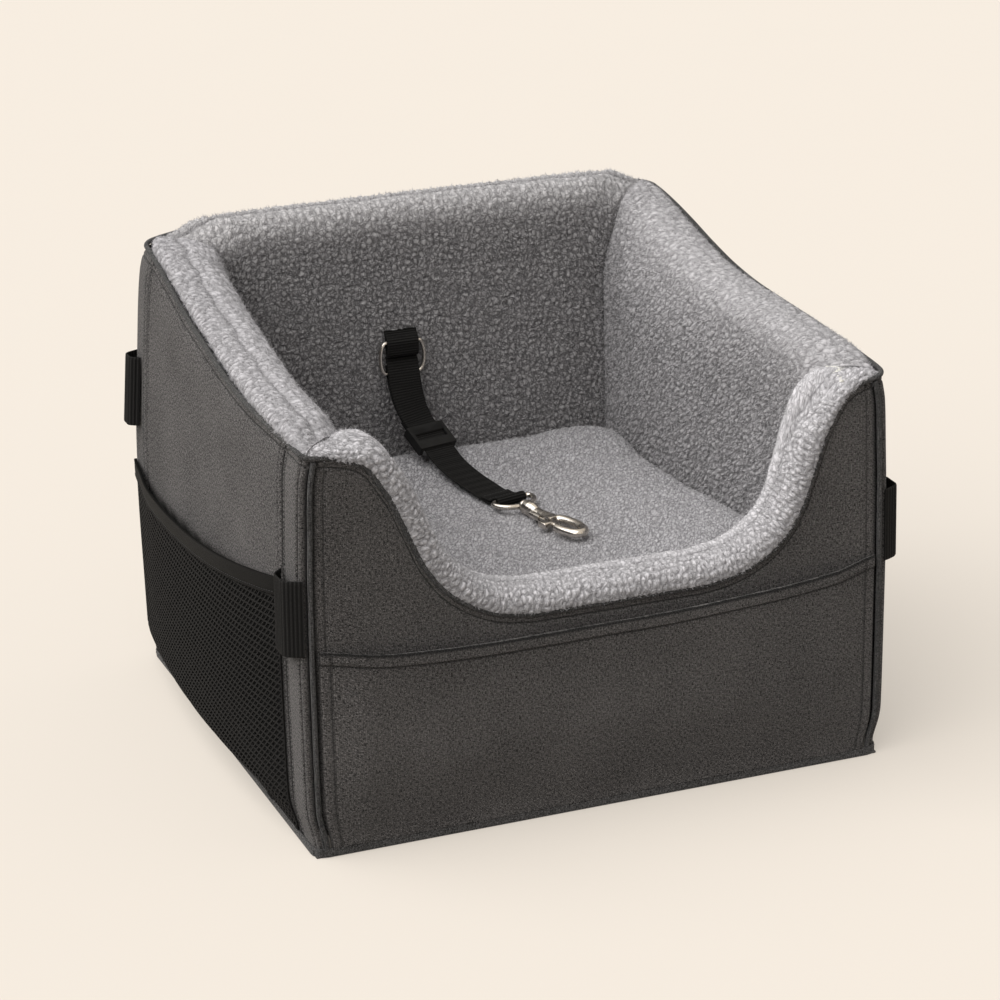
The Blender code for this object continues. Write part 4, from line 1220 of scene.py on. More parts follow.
@dataclass
class Stitching:
    """Gathers seams and sews them as rows of short threads."""

    length: float = 0.0026
    pitch: float = 0.0036
    thickness: float = 0.00055
    centres: list[Array] = field(default_factory=list)
    forwards: list[Array] = field(default_factory=list)
    outwards: list[Array] = field(default_factory=list)

    def sew(self, line: Array, outward: Array) -> None:
        """Adds a seam.

        Args:
            line: the seam's points on the cloth.
            outward: the direction away from the cloth, for all or for each.
        """
        run = run_lengths(line)
        count = max(1, int(run[-1] / self.pitch))
        places = (np.arange(count) + 0.5) * run[-1] / count
        near = self.pitch / 4
        forward = read_along(places + near, run, line) - read_along(places - near, run, line)
        self.centres.append(read_along(places, run, line))
        self.forwards.append(unit(forward))
        self.outwards.append(unit(read_along(places, run, np.broadcast_to(outward, line.shape))))

    def finish(self, name: str, finish: Finish, body: Body) -> Obj:
        """Makes one piece of all the threads.

        Args:
            name: the piece's name.
            finish: the thread's finish.
            body: what it moves with.

        Returns:
            The piece.
        """
        seed = bmesh.new()
        bmesh.ops.create_uvsphere(seed, u_segments=6, v_segments=4, radius=0.5)
        forward, outward = np.vstack(self.forwards), np.vstack(self.outwards)
        across = unit(np.cross(forward, outward))
        axes = (forward * self.length, across * self.thickness, outward * self.thickness)
        item = scatter(name, seed, np.vstack(self.centres), axes)
        item.data.shade_smooth()
        return fit(item, finish, body)


# ---------------------------------------------------------------- outer cloth


@dataclass
class Shell:
    """The outer cloth: four panels, the strips round the corners, the base and its edge."""

    station: float = 0.0030
    row: float = 0.0050
    seam_drop: float = 0.0042
    seam_groove: float = 0.0012
    sewn_inset: float = 0.0062
    groove_width: float = 0.0007
    sewn_width: float = 0.0008
    edge_roll: float = 0.0016
    roll_width: float = 0.0045
    seam_width: float = 0.0006
    seam_shadow: float = 0.0026
    ripple: float = 0.0009
    inner_step: int = 6
    edge_steps: tuple[float, ...] = (
        0.0, 0.0006, 0.0012, 0.0020, 0.0032, 0.0048, 0.0056, 0.0062, 0.0068, 0.0080)
    rim_drops: tuple[float, ...] = (
        0.0, 0.0010, 0.0020, 0.0028, 0.0034, 0.0038, 0.0042, 0.0046, 0.0050, 0.0056, 0.0066, 0.0085)
    tub: TubShape = TUB

    def heights(self, top: Array) -> Array:
        """Heights of the cloth's rows, close together under the rim.

        Args:
            top: the rim's height at each station.

        Returns:
            Heights as (stations, rows), from the top down.
        """
        near = top[:, None] - np.array(self.rim_drops)[None, :]
        count = round((self.tub.front_height - self.rim_drops[-1]) / self.row)
        shares = np.linspace(0, 1, count + 1)[1:]
        rest = mix(near[:, -1:], self.tub.wall_base, shares[None, :])
        return np.hstack([near, rest])

    def dimple(self, top: Array, heights: Array, from_edge: Array) -> Array:
        """How far the outer face sinks at its seams.

        Args:
            top: the rim's height at each station.
            heights: heights as (stations, rows).
            from_edge: each station's distance from the nearer upright seam.

        Returns:
            Depths as (stations, rows).
        """
        drop = top[:, None] - heights
        groove = bell(drop, self.seam_drop, self.groove_width) * self.seam_groove
        roll = self.edge_roll * (1 - ease(from_edge / self.roll_width))[:, None]
        side_seam = bell(from_edge, self.sewn_inset, self.sewn_width)[:, None] * self.seam_groove * 0.8
        return groove + roll + side_seam

    def ripples(self, along: Array, heights: Array, seed: int) -> Array:
        """Slight waves of the cloth over its board, which only sink.

        Args:
            along: distances along the wall.
            heights: heights as (stations, rows).
            seed: picks one of many patterns.

        Returns:
            Depths as (stations, rows).
        """
        wave = smooth_noise(joined(along[:, None] / 0.055, heights / 0.09), seed, 2)
        fine = smooth_noise(joined(along[:, None] / 0.02, heights / 0.03), seed + 3)
        return self.ripple * (0.5 + 0.5 * wave + 0.1 + 0.1 * fine)

    def seam(self, top: Array, rows: Array, from_edge: Array, shown: int) -> Array:
        """How much painted shade darkens the cloth in its seam grooves and along its upright seams.

        Args:
            top: the rim's height at each station.
            rows: heights as (stations, rows).
            from_edge: each station's distance from the nearer upright seam.
            shown: how many of the rows are outside.

        Returns:
            Shares as (stations, rows).
        """
        # Painted shade in the groove under the rim, at the rolled upright seam edges and in the sewn
        # side-seam groove.
        line = 0.75 * bell(top[:, None] - rows, self.seam_drop, self.seam_width)
        edge = 0.95 * (1 - ease(from_edge / self.seam_shadow))[:, None]
        sewn = 0.5 * bell(from_edge, self.sewn_inset, self.seam_width)[:, None]
        return np.maximum(np.maximum(line, edge), sewn) * (np.arange(rows.shape[1]) < shown)

    def panel(self, side: Side, stitching: Stitching) -> Obj:
        """The cloth of one wall.

        Args:
            side: the wall.
            stitching: where its seams are sewn.

        Returns:
            The piece.
        """
        tub = self.tub
        if side.is_end:
            reach = tub.half_width - tub.corner_radius - tub.piping_radius - tub.gap
        else:
            reach = tub.seam_distance - tub.gap / 2
        fine = np.linspace(-reach, reach, 801)
        line = joined(fine, tub.rim(side, fine))
        along = even_stations(fine, line, self.station)
        close = reach - np.array(self.edge_steps)
        along = np.concatenate([-close, along[np.abs(along) < close[-1] - 0.001], close[::-1]])
        top = tub.rim(side, along)
        heights = self.heights(top)
        from_edge = reach - np.abs(along)
        sunk = self.dimple(top, heights, from_edge)
        sunk += self.ripples(along, heights, 11 + len(side.value)) * ease(from_edge / 0.02)[:, None]
        bulge = tub.bulge(side, along[:, None], heights)
        outer = tub.place(side, along[:, None], sunk - bulge, heights)
        inner_rows = heights[:, ::-self.inner_step]
        inner_bulge = tub.bulge(side, along[:, None], inner_rows)
        inner = tub.place(side, along[:, None], tub.cloth - inner_bulge, inner_rows)
        points = tub.swell(wrapped(outer, inner))
        run = wrapped(heights, inner_rows)
        uv = joined(along[:, None], run)
        marks = {"backing": np.zeros(run.shape),
                 "seam": self.seam(top, run, from_edge, heights.shape[1])}
        # The dark backing behind the net: partly the darker cloth there, partly painted shade.
        if not side.is_end:
            net = NetPocket(side)
            share = (along - net.start) / (net.stop - net.start)
            under = ease((net.top(share)[:, None] + net.binding_height / 2 - run) / 0.004)
            within = ease((share + 0.01) / 0.02) * ease((1.02 - share) / 0.02)
            marks["backing"] = under * within[:, None]
        item = cover(side.value + "_cloth", points, uv, marks)
        outward = tub.place(side, 0.0, -1.0, 0.0) - tub.place(side, 0.0, 0.0, 0.0)
        stitching.sew(points[:, self.rim_drops.index(self.seam_drop)], outward)
        finish = SHELL_CLOTH if side.is_end else SIDE_CLOTH
        return fit(item, finish, Body.TUB, side.value + "_panel")

    def corner_strip(self, name: str, sign_x: int, sign_y: int, stitching: Stitching) -> Obj:
        """The cloth strip round one corner.

        Args:
            name: the corner.
            sign_x: its side of the seat.
            sign_y: its end of the seat.
            stitching: where its seams are sewn.

        Returns:
            The piece.
        """
        tub = self.tub
        skipped = (tub.piping_radius + tub.gap) / tub.corner_radius
        angles = np.linspace(skipped, math.pi / 2, 11)
        start = tub.half_depth - tub.corner_radius
        stop = tub.seam_distance + tub.gap / 2
        flat = np.linspace(start, stop, 16)[1:]
        flat = np.concatenate([flat[flat > stop + 0.0085], stop + np.array(self.edge_steps)[::-1]])
        top = np.concatenate([tub.corner_height(sign_y, angles), tub.rim(Side.LEFT, sign_y * flat)])
        heights = self.heights(top)
        run = np.concatenate([tub.corner_radius * (angles - math.pi / 2), start - flat])
        from_edge = np.minimum(run - run.min(), run.max() - run)
        turned = np.concatenate([angles, np.full(len(flat), math.pi / 2)])
        normal = joined(sign_x * np.sin(turned), sign_y * np.cos(turned), 0 * turned)
        base = np.concatenate([tub.corner(sign_x, sign_y, 0.0, angles, 0.0),
                               joined(sign_x * tub.half_width, sign_y * flat, 0)])
        sunk = self.dimple(top, heights, from_edge)
        place = joined(run[:, None] / 0.02, heights / 0.05)
        sunk += 0.0004 * (0.5 + 0.5 * smooth_noise(place, 31 + sign_x + 2 * sign_y))

        def layer(depth: Array, rows: Array) -> Array:
            """One face of the strip at a depth."""
            points = base[:, None] - normal[:, None] * np.broadcast_to(depth, rows.shape)[..., None]
            return np.concatenate([points[..., :2], rows[..., None]], axis=-1)

        outer = layer(sunk, heights)
        inner_rows = heights[:, ::-self.inner_step]
        inner = layer(np.full(inner_rows.shape, tub.cloth), inner_rows)
        points = tub.swell(wrapped(outer, inner))
        rows = wrapped(heights, inner_rows)
        uv = joined(run[:, None] + 0.3, rows)
        item = cover(name + "_strip", points, uv,
                     {"seam": self.seam(top, rows, from_edge, heights.shape[1])})
        stitching.sew(points[:, self.rim_drops.index(self.seam_drop)], normal)
        round_part = len(angles)
        edge = int(np.argmin(np.abs(from_edge[round_part:] - self.roll_width))) + round_part
        stitching.sew(points[edge, :heights.shape[1]], normal[edge])
        return fit(item, SHELL_CLOTH, Body.TUB, name + "_corner_strip")

    def piping(self) -> list[Obj]:
        """Cord-filled piping up the corners and round the whole rim.

        Returns:
            The pieces.
        """
        tub = self.tub
        pieces = []
        outline = round_outline(tub.piping_radius, 12)
        for name, sign_x, sign_y in CORNERS:
            top = tub.corner_height(sign_y, np.array(0.0)) - tub.gap
            heights = np.linspace(tub.foot, float(top), 60)
            centres = tub.swell(tub.corner(sign_x, sign_y, tub.piping_inset, np.zeros(60), heights))
            centres[:, 1] += 0.0002 * smooth_noise(heights[:, None] / 0.02, 5 + sign_x)
            side, up = frames_along(centres, BACK)
            item = swept(name + "_cord", centres, side, up, outline)
            pieces.append(fit(item, PIPING_CLOTH, Body.TUB, name + "_piping"))
        centres = self.rim_route()
        side, up = frames_along(centres, UP, closed=True)
        item = swept("rim_cord", centres, side, up, outline)
        pieces.append(fit(item, PIPING_CLOTH, Body.TUB, "rim_piping"))
        return pieces

    def rim_route(self) -> Array:
        """The closed line of the rim's piping.

        Returns:
            Points as (count, 3).
        """
        tub = self.tub
        over = tub.piping_radius + tub.gap
        parts = []
        walls = ((Side.FRONT, 1), (Side.RIGHT, 1), (Side.REAR, -1), (Side.LEFT, -1))
        corners = ((1, -1, False), (1, 1, True), (-1, 1, False), (-1, -1, True))
        for (side, way), (sign_x, sign_y, reverse) in zip(walls, corners):
            half = tub.half_width if side.is_end else tub.half_depth
            reach = half - tub.corner_radius - (over if side.is_end else 0.0)
            along = np.linspace(-reach, reach, 240)[::way]
            lengthwise, upward = tub.rim_normal(side, along)
            height = tub.rim(side, along) + over * upward
            parts.append(tub.place(side, along + over * lengthwise, tub.piping_inset, height))
            angle = np.linspace(0, math.pi / 2, 10)[1:-1]
            angle = math.pi / 2 - angle if reverse else angle
            height = tub.corner_height(sign_y, angle) + over
            parts.append(tub.corner(sign_x, sign_y, tub.piping_inset, angle, height))
        route = tub.swell(np.vstack(parts))
        return np.vstack([route, route[:1]])

    def base_edge(self, stitching: Stitching) -> Obj:
        """The binding round the base.

        Args:
            stitching: where its seam is sewn.

        Returns:
            The piece.
        """
        tub = self.tub
        corner_angles = np.linspace(0, math.pi / 2, 9)
        points, outward = [], []
        for quarter in range(4):
            sign_x = 1 if quarter in (0, 3) else -1
            sign_y = 1 if quarter in (0, 1) else -1
            angle = corner_angles + math.pi / 2 * quarter
            direction = joined(np.cos(angle), np.sin(angle), 0 * angle)
            centre = np.array([sign_x * (tub.half_width - tub.corner_radius),
                               sign_y * (tub.half_depth - tub.corner_radius), 0.0])
            points.append(centre + direction * tub.corner_radius)
            outward.append(direction)
        line, normal = np.vstack(points), np.vstack(outward)
        line, normal = np.vstack([line, line[:1]]), np.vstack([normal, normal[:1]])
        run = run_lengths(line)
        even = np.linspace(0, run[-1], 420)
        line, normal = read_along(even, run, line), unit(read_along(even, run, normal))
        low, high = tub.binding_lift, tub.binding_lift + tub.binding_height
        inner, outer = tub.gap, tub.gap + tub.binding_thickness
        outline = np.array([(inner, low), (outer * 0.8, low), (outer, low + 0.0012),
                            (outer, (low + high) / 2), (outer, high - 0.0012), (outer * 0.8, high),
                            (inner, high), (inner, low)])
        line = tub.swell(line)
        item = swept("base_edge", line, normal, UP, outline)
        stitching.sew(line + normal * outer + UP * (high - 0.0016), normal)
        return fit(item, BOUND_EDGE, Body.TUB, "base_binding")

    def base(self) -> Obj:
        """The cloth under the seat.

        Returns:
            The piece.
        """
        tub = self.tub
        item = block("base_cloth", (-tub.half_width, -tub.half_depth, 0.0),
                     (tub.half_width, tub.half_depth, tub.cloth))
        modify(item, "BEVEL", width=tub.corner_radius, segments=5, limit_method="ANGLE")
        apply_modifiers(item)
        points = read_points(item.data)
        points[:, 2] = np.clip(points[:, 2], 0.0, tub.cloth)
        write_points(item.data, tub.swell(points))
        return fit(item, BASE_CLOTH, Body.TUB, "base_cover")

    def build(self, stitching: Stitching) -> None:
        """Makes all the outer cloth.

        Args:
            stitching: where the seams are sewn.
        """
        for side in Side:
            self.panel(side, stitching)
        for name, sign_x, sign_y in CORNERS:
            self.corner_strip(name, sign_x, sign_y, stitching)
        self.base()
        self.piping()
        self.base_edge(stitching)


@dataclass
class PatchPocket:
    """The full-width pocket on the front."""

    margin: float = 0.0115
    height: float = 0.1392
    rise: SmoothCurve = SmoothCurve((
        (-1.0, 0.0105), (-0.75, 0.0030), (-0.4, 0.0002), (0.1, 0.0003), (0.65, 0.0050), (0.85, 0.0090),
        (1.0, 0.0145)))
    cloth: float = 0.0016
    hem: float = 0.0105
    hem_thickness: float = 0.0028
    stand: float = 0.0064
    side_taper: float = 0.0300
    side_fold: float = 0.0065
    edge_steps: tuple[float, ...] = (
        0.0, 0.0008, 0.0016, 0.0026, 0.0036, 0.0046, 0.0054, 0.0062, 0.0070, 0.0080, 0.0095, 0.0120,
        0.0150)
    drops: tuple[float, ...] = (
        0.0, 0.0004, 0.0012, 0.0030, 0.0055, 0.0080, 0.0093, 0.0101, 0.0105, 0.0110, 0.0118, 0.0126,
        0.0134, 0.0142, 0.0150, 0.0165, 0.0185)
    sewn_drop: float = 0.0101
    tub: TubShape = TUB

    def build(self, stitching: Stitching) -> Obj:
        """Makes the pocket.

        Args:
            stitching: where its seams are sewn.

        Returns:
            The piece.
        """
        tub = self.tub
        reach = tub.half_width - self.margin
        near = np.array(self.edge_steps)
        inside = np.linspace(-reach + near[-1], reach - near[-1], 130)
        along = np.concatenate([near - reach, inside[1:-1], (reach - near)[::-1]])
        top = self.height + self.rise.at(along / reach)
        hem = top - self.hem
        from_edge = reach - np.abs(along)
        taper = ease(from_edge / self.side_taper)
        near_rows = top[:, None] - self.drops
        rest = mix(near_rows[:, -1:], tub.foot, np.linspace(0, 1, 26)[None, 1:])
        rows = np.hstack([near_rows, rest])
        stand = self.stand * taper[:, None] * ease((rows - tub.foot) / (hem[:, None] / 2))
        proud = tub.gap + stand + self.cloth
        drop = top[:, None] - rows
        lip = self.hem_thickness - self.cloth
        proud = proud + lip * (1 - ease((drop - 0.0084) / 0.0012))
        proud = proud - 0.0009 * bell(drop, 0.0097, 0.0006)
        proud = proud - 0.0008 * (1 - ease(drop / 0.0012))
        place = joined(along[:, None] / 0.06, rows / 0.05)
        wave = smooth_noise(place, 47, 2)
        proud = proud + 0.0009 * wave * taper[:, None] * ease((rows - tub.foot) / 0.02)
        fold = 0.0006 * bell(from_edge, self.side_fold, 0.0007)[:, None]
        edge = 0.0011 * (1 - ease(from_edge / 0.0016))[:, None]
        proud = np.maximum(proud - fold - edge, tub.gap + 0.0004)
        outer = tub.place(Side.FRONT, along[:, None], -proud, rows)
        inner_rows = rows[:, ::-4]
        inner_stand = self.stand * taper[:, None] * ease((inner_rows - tub.foot) / (hem[:, None] / 2))
        inner = tub.place(Side.FRONT, along[:, None], -tub.gap - inner_stand, inner_rows)
        points = tub.swell(wrapped(outer, inner))
        run = wrapped(rows, inner_rows)
        uv = joined(along[:, None] + 0.7, run)
        shown = np.arange(run.shape[1]) < rows.shape[1]
        # Painted shade under the pocket's standing top edge, in its hem step, in its side folds and at
        # its side edges.
        fallen = top[:, None] - run
        seam = np.maximum(0.95 * bell(fallen, 0.0095, 0.0006), 0.95 * (fallen < 0.0016))
        sides = 0.8 * bell(from_edge, self.side_fold, 0.0006) + 0.9 * (from_edge < 0.0007)
        seam = np.maximum(seam, sides[:, None]) * shown[None, :]
        item = cover("patch_pocket", points, uv, {"seam": np.clip(seam, 0, 1)})
        outward = np.array([0.0, -1.0, 0.0])
        stitching.sew(points[5:-5, self.drops.index(self.sewn_drop)], outward)
        for edge_station in (7, len(along) - 8):
            stitching.sew(points[edge_station, 5:rows.shape[1]], outward)
        return fit(item, SHELL_CLOTH, Body.TUB, "front_pocket")


@dataclass
class NetPocket:
    """A diamond net on one side wall with a wide elastic tape along its top."""

    side: Side
    high: float = 0.1790
    low: float = 0.1420
    stand: float = 0.0120
    thread: float = 0.0008
    strand: float = 0.0011
    columns: int = 35
    rows: int = 62
    slant: float = 0.85
    solid_share: float = 0.5
    binding_height: float = 0.0130
    binding_thickness: float = 0.0024
    front_margin: float = 0.0035
    rear_margin: float = 0.0090
    off_wall: float = 0.0011
    filled_by: float = 0.14
    top_stand: float = 0.75
    drift: float = 0.004
    sag: SmoothCurve = SmoothCurve((
        (0.0, 1.0), (0.04, 0.93), (0.18, 0.72), (0.37, 0.47), (0.52, 0.31), (0.73, 0.16), (0.86, 0.09),
        (1.0, 0.25)))
    tub: TubShape = TUB

    @property
    def start(self) -> float:
        """The net's front end along the wall."""
        return -self.tub.seam_distance + self.front_margin

    @property
    def stop(self) -> float:
        """The net's rear end along the wall."""
        return self.tub.half_depth - self.rear_margin

    def top(self, share: Array) -> Array:
        """Height of the net's upper edge."""
        return mix(self.low, self.high, self.sag.at(share))

    def surface(self, share: Array, rise: Array) -> Array:
        """Points on the net.

        Args:
            share: how far along the pocket.
            rise: how far up it.

        Returns:
            Points as (..., 3).
        """
        tub = self.tub
        along = mix(self.start, self.stop, share)
        height = mix(tub.foot, self.top(share), rise)
        arch = np.sin(math.pi * np.clip(share, 0, 1)) ** 0.7
        offset = self.stand * arch * ease(rise / self.filled_by) * mix(1, self.top_stand, rise)
        out = tub.bulge(self.side, np.minimum(along, tub.seam_distance), height)
        return tub.place(self.side, along, -(out + tub.gap + self.off_wall + offset), height)

    def build(self, stitching: Stitching) -> None:
        """Makes the net and its tape.

        Args:
            stitching: where the seams are sewn.
        """
        outward = -1.0 if self.side is Side.LEFT else 1.0
        net = bmesh.new()
        bmesh.ops.create_grid(net, x_segments=self.columns, y_segments=self.rows, size=0.5)
        grid_edges = [edge for edge in net.edges if not edge.is_boundary]
        bmesh.ops.poke(net, faces=net.faces[:])
        bmesh.ops.dissolve_edges(net, edges=grid_edges)
        for vertex in net.verts:
            share = vertex.co.x + 0.5
            vertex.co = (share, (vertex.co.y + 0.5) * (1 + self.slant) - self.slant * share, 0.0)
        for place, outside in (((0.0, 0.0, 0.0), (0.0, -1.0, 0.0)), ((0.0, 1.0, 0.0), (0.0, 1.0, 0.0))):
            bmesh.ops.bisect_plane(net, geom=net.verts[:] + net.edges[:] + net.faces[:], plane_co=place,
                                   plane_no=outside, clear_outer=True)
        flat = np.array([vertex.co for vertex in net.verts])
        share, rise = flat[:, 0], flat[:, 1]
        drift = self.drift * smooth_noise(flat[:, :2] * 9, 61)
        inside = np.sin(math.pi * np.clip(share, 0, 1)) * np.sin(math.pi * np.clip(rise, 0, 1))
        points = self.tub.swell(self.surface(share + drift * inside, rise))
        for vertex, point in zip(net.verts, points):
            vertex.co = point
        net.normal_update()
        frames = bmesh.ops.inset_individual(net, faces=net.faces[:], thickness=self.strand / 2,
                                            use_even_offset=True)
        kept = set(frames["faces"])
        bmesh.ops.delete(net, geom=[face for face in net.faces if face not in kept],
                         context="FACES_ONLY")
        net.normal_update()
        if sum(face.normal.x for face in net.faces) * outward < 0:
            bmesh.ops.reverse_faces(net, faces=net.faces[:])
        mesh = bpy.data.meshes.new(self.side.value + "_netting")
        net.to_mesh(mesh)
        net.free()
        item = link_object(self.side.value + "_netting", mesh)
        modify(item, "SOLIDIFY", thickness=self.thread, offset=-1)
        fit(item, NET_THREAD, Body.TUB, self.side.value + "_net")
        self.tape(stitching, outward)

    def tape(self, stitching: Stitching, outward: float) -> Obj:
        """The elastic tape with a raised lower edge.

        Args:
            stitching: where its seam is sewn.
            outward: the sign of X away from the wall.

        Returns:
            The piece.
        """
        share = np.linspace(0, 1, 120)
        base = self.surface(share, np.ones(120))
        inner, outer = -0.0008, self.binding_thickness - 0.0008
        high = self.binding_height
        outline = np.array([
            (inner, 0.0003), (outer * 0.6, 0.0003), (outer * 0.95, 0.0009), (outer * 0.95, 0.0016),
            (outer * 0.55, 0.0022), (outer * 0.6, 0.0028), (outer * 0.85, 0.0034),
            (outer * 0.9, 0.0060), (outer * 0.86, high - 0.0030), (outer * 0.9, high - 0.0012),
            (outer, high - 0.0006), (outer * 0.8, high), (inner + 0.0003, high),
            (inner, high - 0.0003), (inner, 0.0003)])
        side = ACROSS * outward
        points = self.tub.swell(base[:, None] + side * outline[:, :1] + UP * outline[:, 1:])
        uv = joined(run_lengths(base)[:, None], outline[None, :, 1])
        item = cover(self.side.value + "_tape", points, uv)
        stitching.sew(points[:, 4], side)
        return fit(item, SATIN_TAPE, Body.TUB, self.side.value + "_net_binding")


# ---------------------------------------------------------------- fleece


@dataclass(frozen=True)
class Curls:
    """The fleece's curls on one roll, and how its corners turn down."""

    row_share: float = 1.0
    outer: tuple[float, float] = (0.0058, 0.0105)
    inner: tuple[float, float] = (0.0062, 0.0078)
    least: float = 0.42
    corner_span: float = 0.062


FRONT_CURLS = Curls(row_share=1.4, outer=(0.0047, 0.0050), inner=(0.0062, 0.0140), least=0.70,
                    corner_span=0.045)


@dataclass
class Lining:
    """The fleece of one wall, rolled over the rim and mitred into its neighbours."""

    side: Side
    finish: Finish
    station: float = 0.0010
    rim_row: float = 0.0011
    wall_row: float = 0.0017
    rim_height: float = 0.0032
    wall_height: float = 0.0021
    crest: float = 0.0170
    overhang: float = 0.0010
    fullness: float = 0.80
    front_rise: float = 0.0075
    front_crest: float = 0.0205
    rear_tuck: float = 0.0060
    front_tuck: float = 0.0030
    cloth_shown: float = 0.0050
    hidden_depth: float = 0.115
    mitre_blend: float = 0.030
    corner_round: float = 0.010
    front_fall: float = 0.45
    rear_fall: float = 0.40
    end_fall: float = 0.62
    end_start: float = 0.160
    end_length: float = 0.024
    hem: float = 0.0105
    crease_sway: float = 0.0022
    wall_curl: tuple[float, float] = (0.0056, 0.0050)
    fine_curl: tuple[float, float] = (0.0020, 0.0042)
    drift_width: float = 0.018
    drift_height: float = 0.014
    fibres: int = 16000
    tub: TubShape = TUB

    @property
    def outer_reach(self) -> float:
        """How far the outermost row runs to each corner."""
        half = self.tub.half_width if self.side.is_end else self.tub.half_depth
        return half - self.tub.board_inset

    @property
    def top(self) -> float:
        """How far in from the cloth the rim is highest."""
        return self.front_crest if self.side is Side.FRONT else self.crest

    @property
    def form(self) -> Curls:
        """The curls of this wall's roll."""
        return FRONT_CURLS if self.side is Side.FRONT else Curls()

    def profile(self) -> tuple[Array, Array]:
        """The section over the rim, as inset and height over the rim at even steps.

        Returns:
            Insets and heights.
        """
        tub = self.tub
        low = 2 * tub.piping_radius
        rise = tub.rim_rise + (self.front_rise if self.side is Side.FRONT else 0.0)
        spread = -self.cloth_shown if self.side in (Side.RIGHT, Side.REAR) else self.overhang
        out = np.linspace(0, math.pi / 2, 121)
        back = out[::-1][1:]
        inset = np.concatenate((
            [tub.board_inset, tub.board_inset],
            self.top - (self.top + spread) * np.cos(out) ** self.fullness,
            self.top + (tub.wall - self.top) * np.cos(back) ** self.fullness))
        over = np.concatenate((
            [-tub.rim_hem, 0.6 * low],
            low + (rise - low) * np.sin(out) ** self.fullness,
            (rise + tub.rim_drop) * np.sin(back) ** self.fullness - tub.rim_drop))
        index = np.arange(len(inset))
        even = even_stations(index, joined(inset, over), self.rim_row)
        return np.interp(even, index, inset), np.interp(even, index, over)

    def mitre(self, sign_x: int, sign_y: int, inset: Array, thick: Array) -> tuple[Array, Array, Array]:
        """Where the rows of two linings meet at a corner.

        Args:
            sign_x: the corner's side of the seat.
            sign_y: its end of the seat.
            inset: each row's distance in from the cloth.
            thick: each row's share of the side lining's thickening.

        Returns:
            Distances from the middle in X and in Y, and the rim's height there.
        """
        tub = self.tub
        y = tub.half_depth - inset
        x = tub.half_width - inset - thick * tub.thickening(sign_y * y)
        end = Side.FRONT if sign_y < 0 else Side.REAR
        return x, y, (tub.rim(end, sign_x * x) + tub.rim(Side.LEFT, sign_y * y)) / 2

    def mitred(self, stations: Array, inset: Array, over: Array, thick: Array, sink: Array,
               floor: Array) -> tuple[Array, Array]:
        """Points of whole rows, which end on the mitres.

        Args:
            stations: distances along the outermost row.
            inset: each row's distance in from the cloth.
            over: its height over the rim.
            thick: its share of the side lining's thickening.
            sink: how far it sinks from there to its floor, from 0 to 1.
            floor: the height that it sinks to.

        Returns:
            Points as (stations, rows, 3) and their distances along the wall.
        """
        tub, side = self.tub, self.side
        reach = np.empty((len(stations), len(inset)))
        corner_rim = reach.copy()
        for sign in (-1, 1):
            picked = stations <= 0 if sign < 0 else stations > 0
            if side.is_end:
                x, _, rim = self.mitre(sign, -1 if side is Side.FRONT else 1, inset, thick)
                reach[picked], corner_rim[picked] = x, rim
            else:
                _, y, rim = self.mitre(-1 if side is Side.LEFT else 1, sign, inset, thick)
                reach[picked], corner_rim[picked] = y, rim
        span = self.form.corner_span
        start = self.outer_reach - span
        past = np.clip((np.abs(stations) - start) / span, 0, 1)[:, None]
        along = np.minimum(np.abs(stations), start)[:, None] + past * (reach - start)
        along = along * np.sign(stations)[:, None]
        near = 1 - ease((reach - np.abs(along)) / self.mitre_blend)
        rim = mix(tub.rim(side, along), corner_rim, near)
        lengthwise, upward = tub.rim_normal(side, along, near)
        own = inset + (0.0 if side.is_end else thick * tub.thickening(along))
        outside = near * np.clip((self.top - inset) / self.top, 0, 1) * (over > 0)
        rearward = np.full(along.shape, float(side is Side.REAR)) if side.is_end else (along > 0) * 1.0
        own = own + mix(self.front_tuck, self.rear_tuck, rearward) * outside
        fallen = mix(self.front_fall, self.rear_fall, rearward) * near
        if side is Side.FRONT:
            further = self.end_fall * ease((np.abs(along) - self.end_start) / self.end_length)
            fallen = 1 - (1 - fallen) * (1 - further)
        over = over * (1 - fallen * (over > 0))
        height = mix(rim + over * upward, floor, sink)
        points = tub.place(side, along + over * lengthwise, own, height)
        plan = points[..., :2]
        centre = np.array([tub.half_width, tub.half_depth]) - self.corner_round
        past = np.abs(plan) - centre
        both = (past > 0).all(axis=-1)[..., None]
        reached = np.maximum(np.hypot(past[..., 0], past[..., 1]), 1e-9)
        rounding = np.max(past, axis=-1) / reached
        turned = np.sign(plan) * (centre + past * rounding[..., None])
        points[..., :2] = np.where(both, turned, plan)
        return tub.lean(points), along

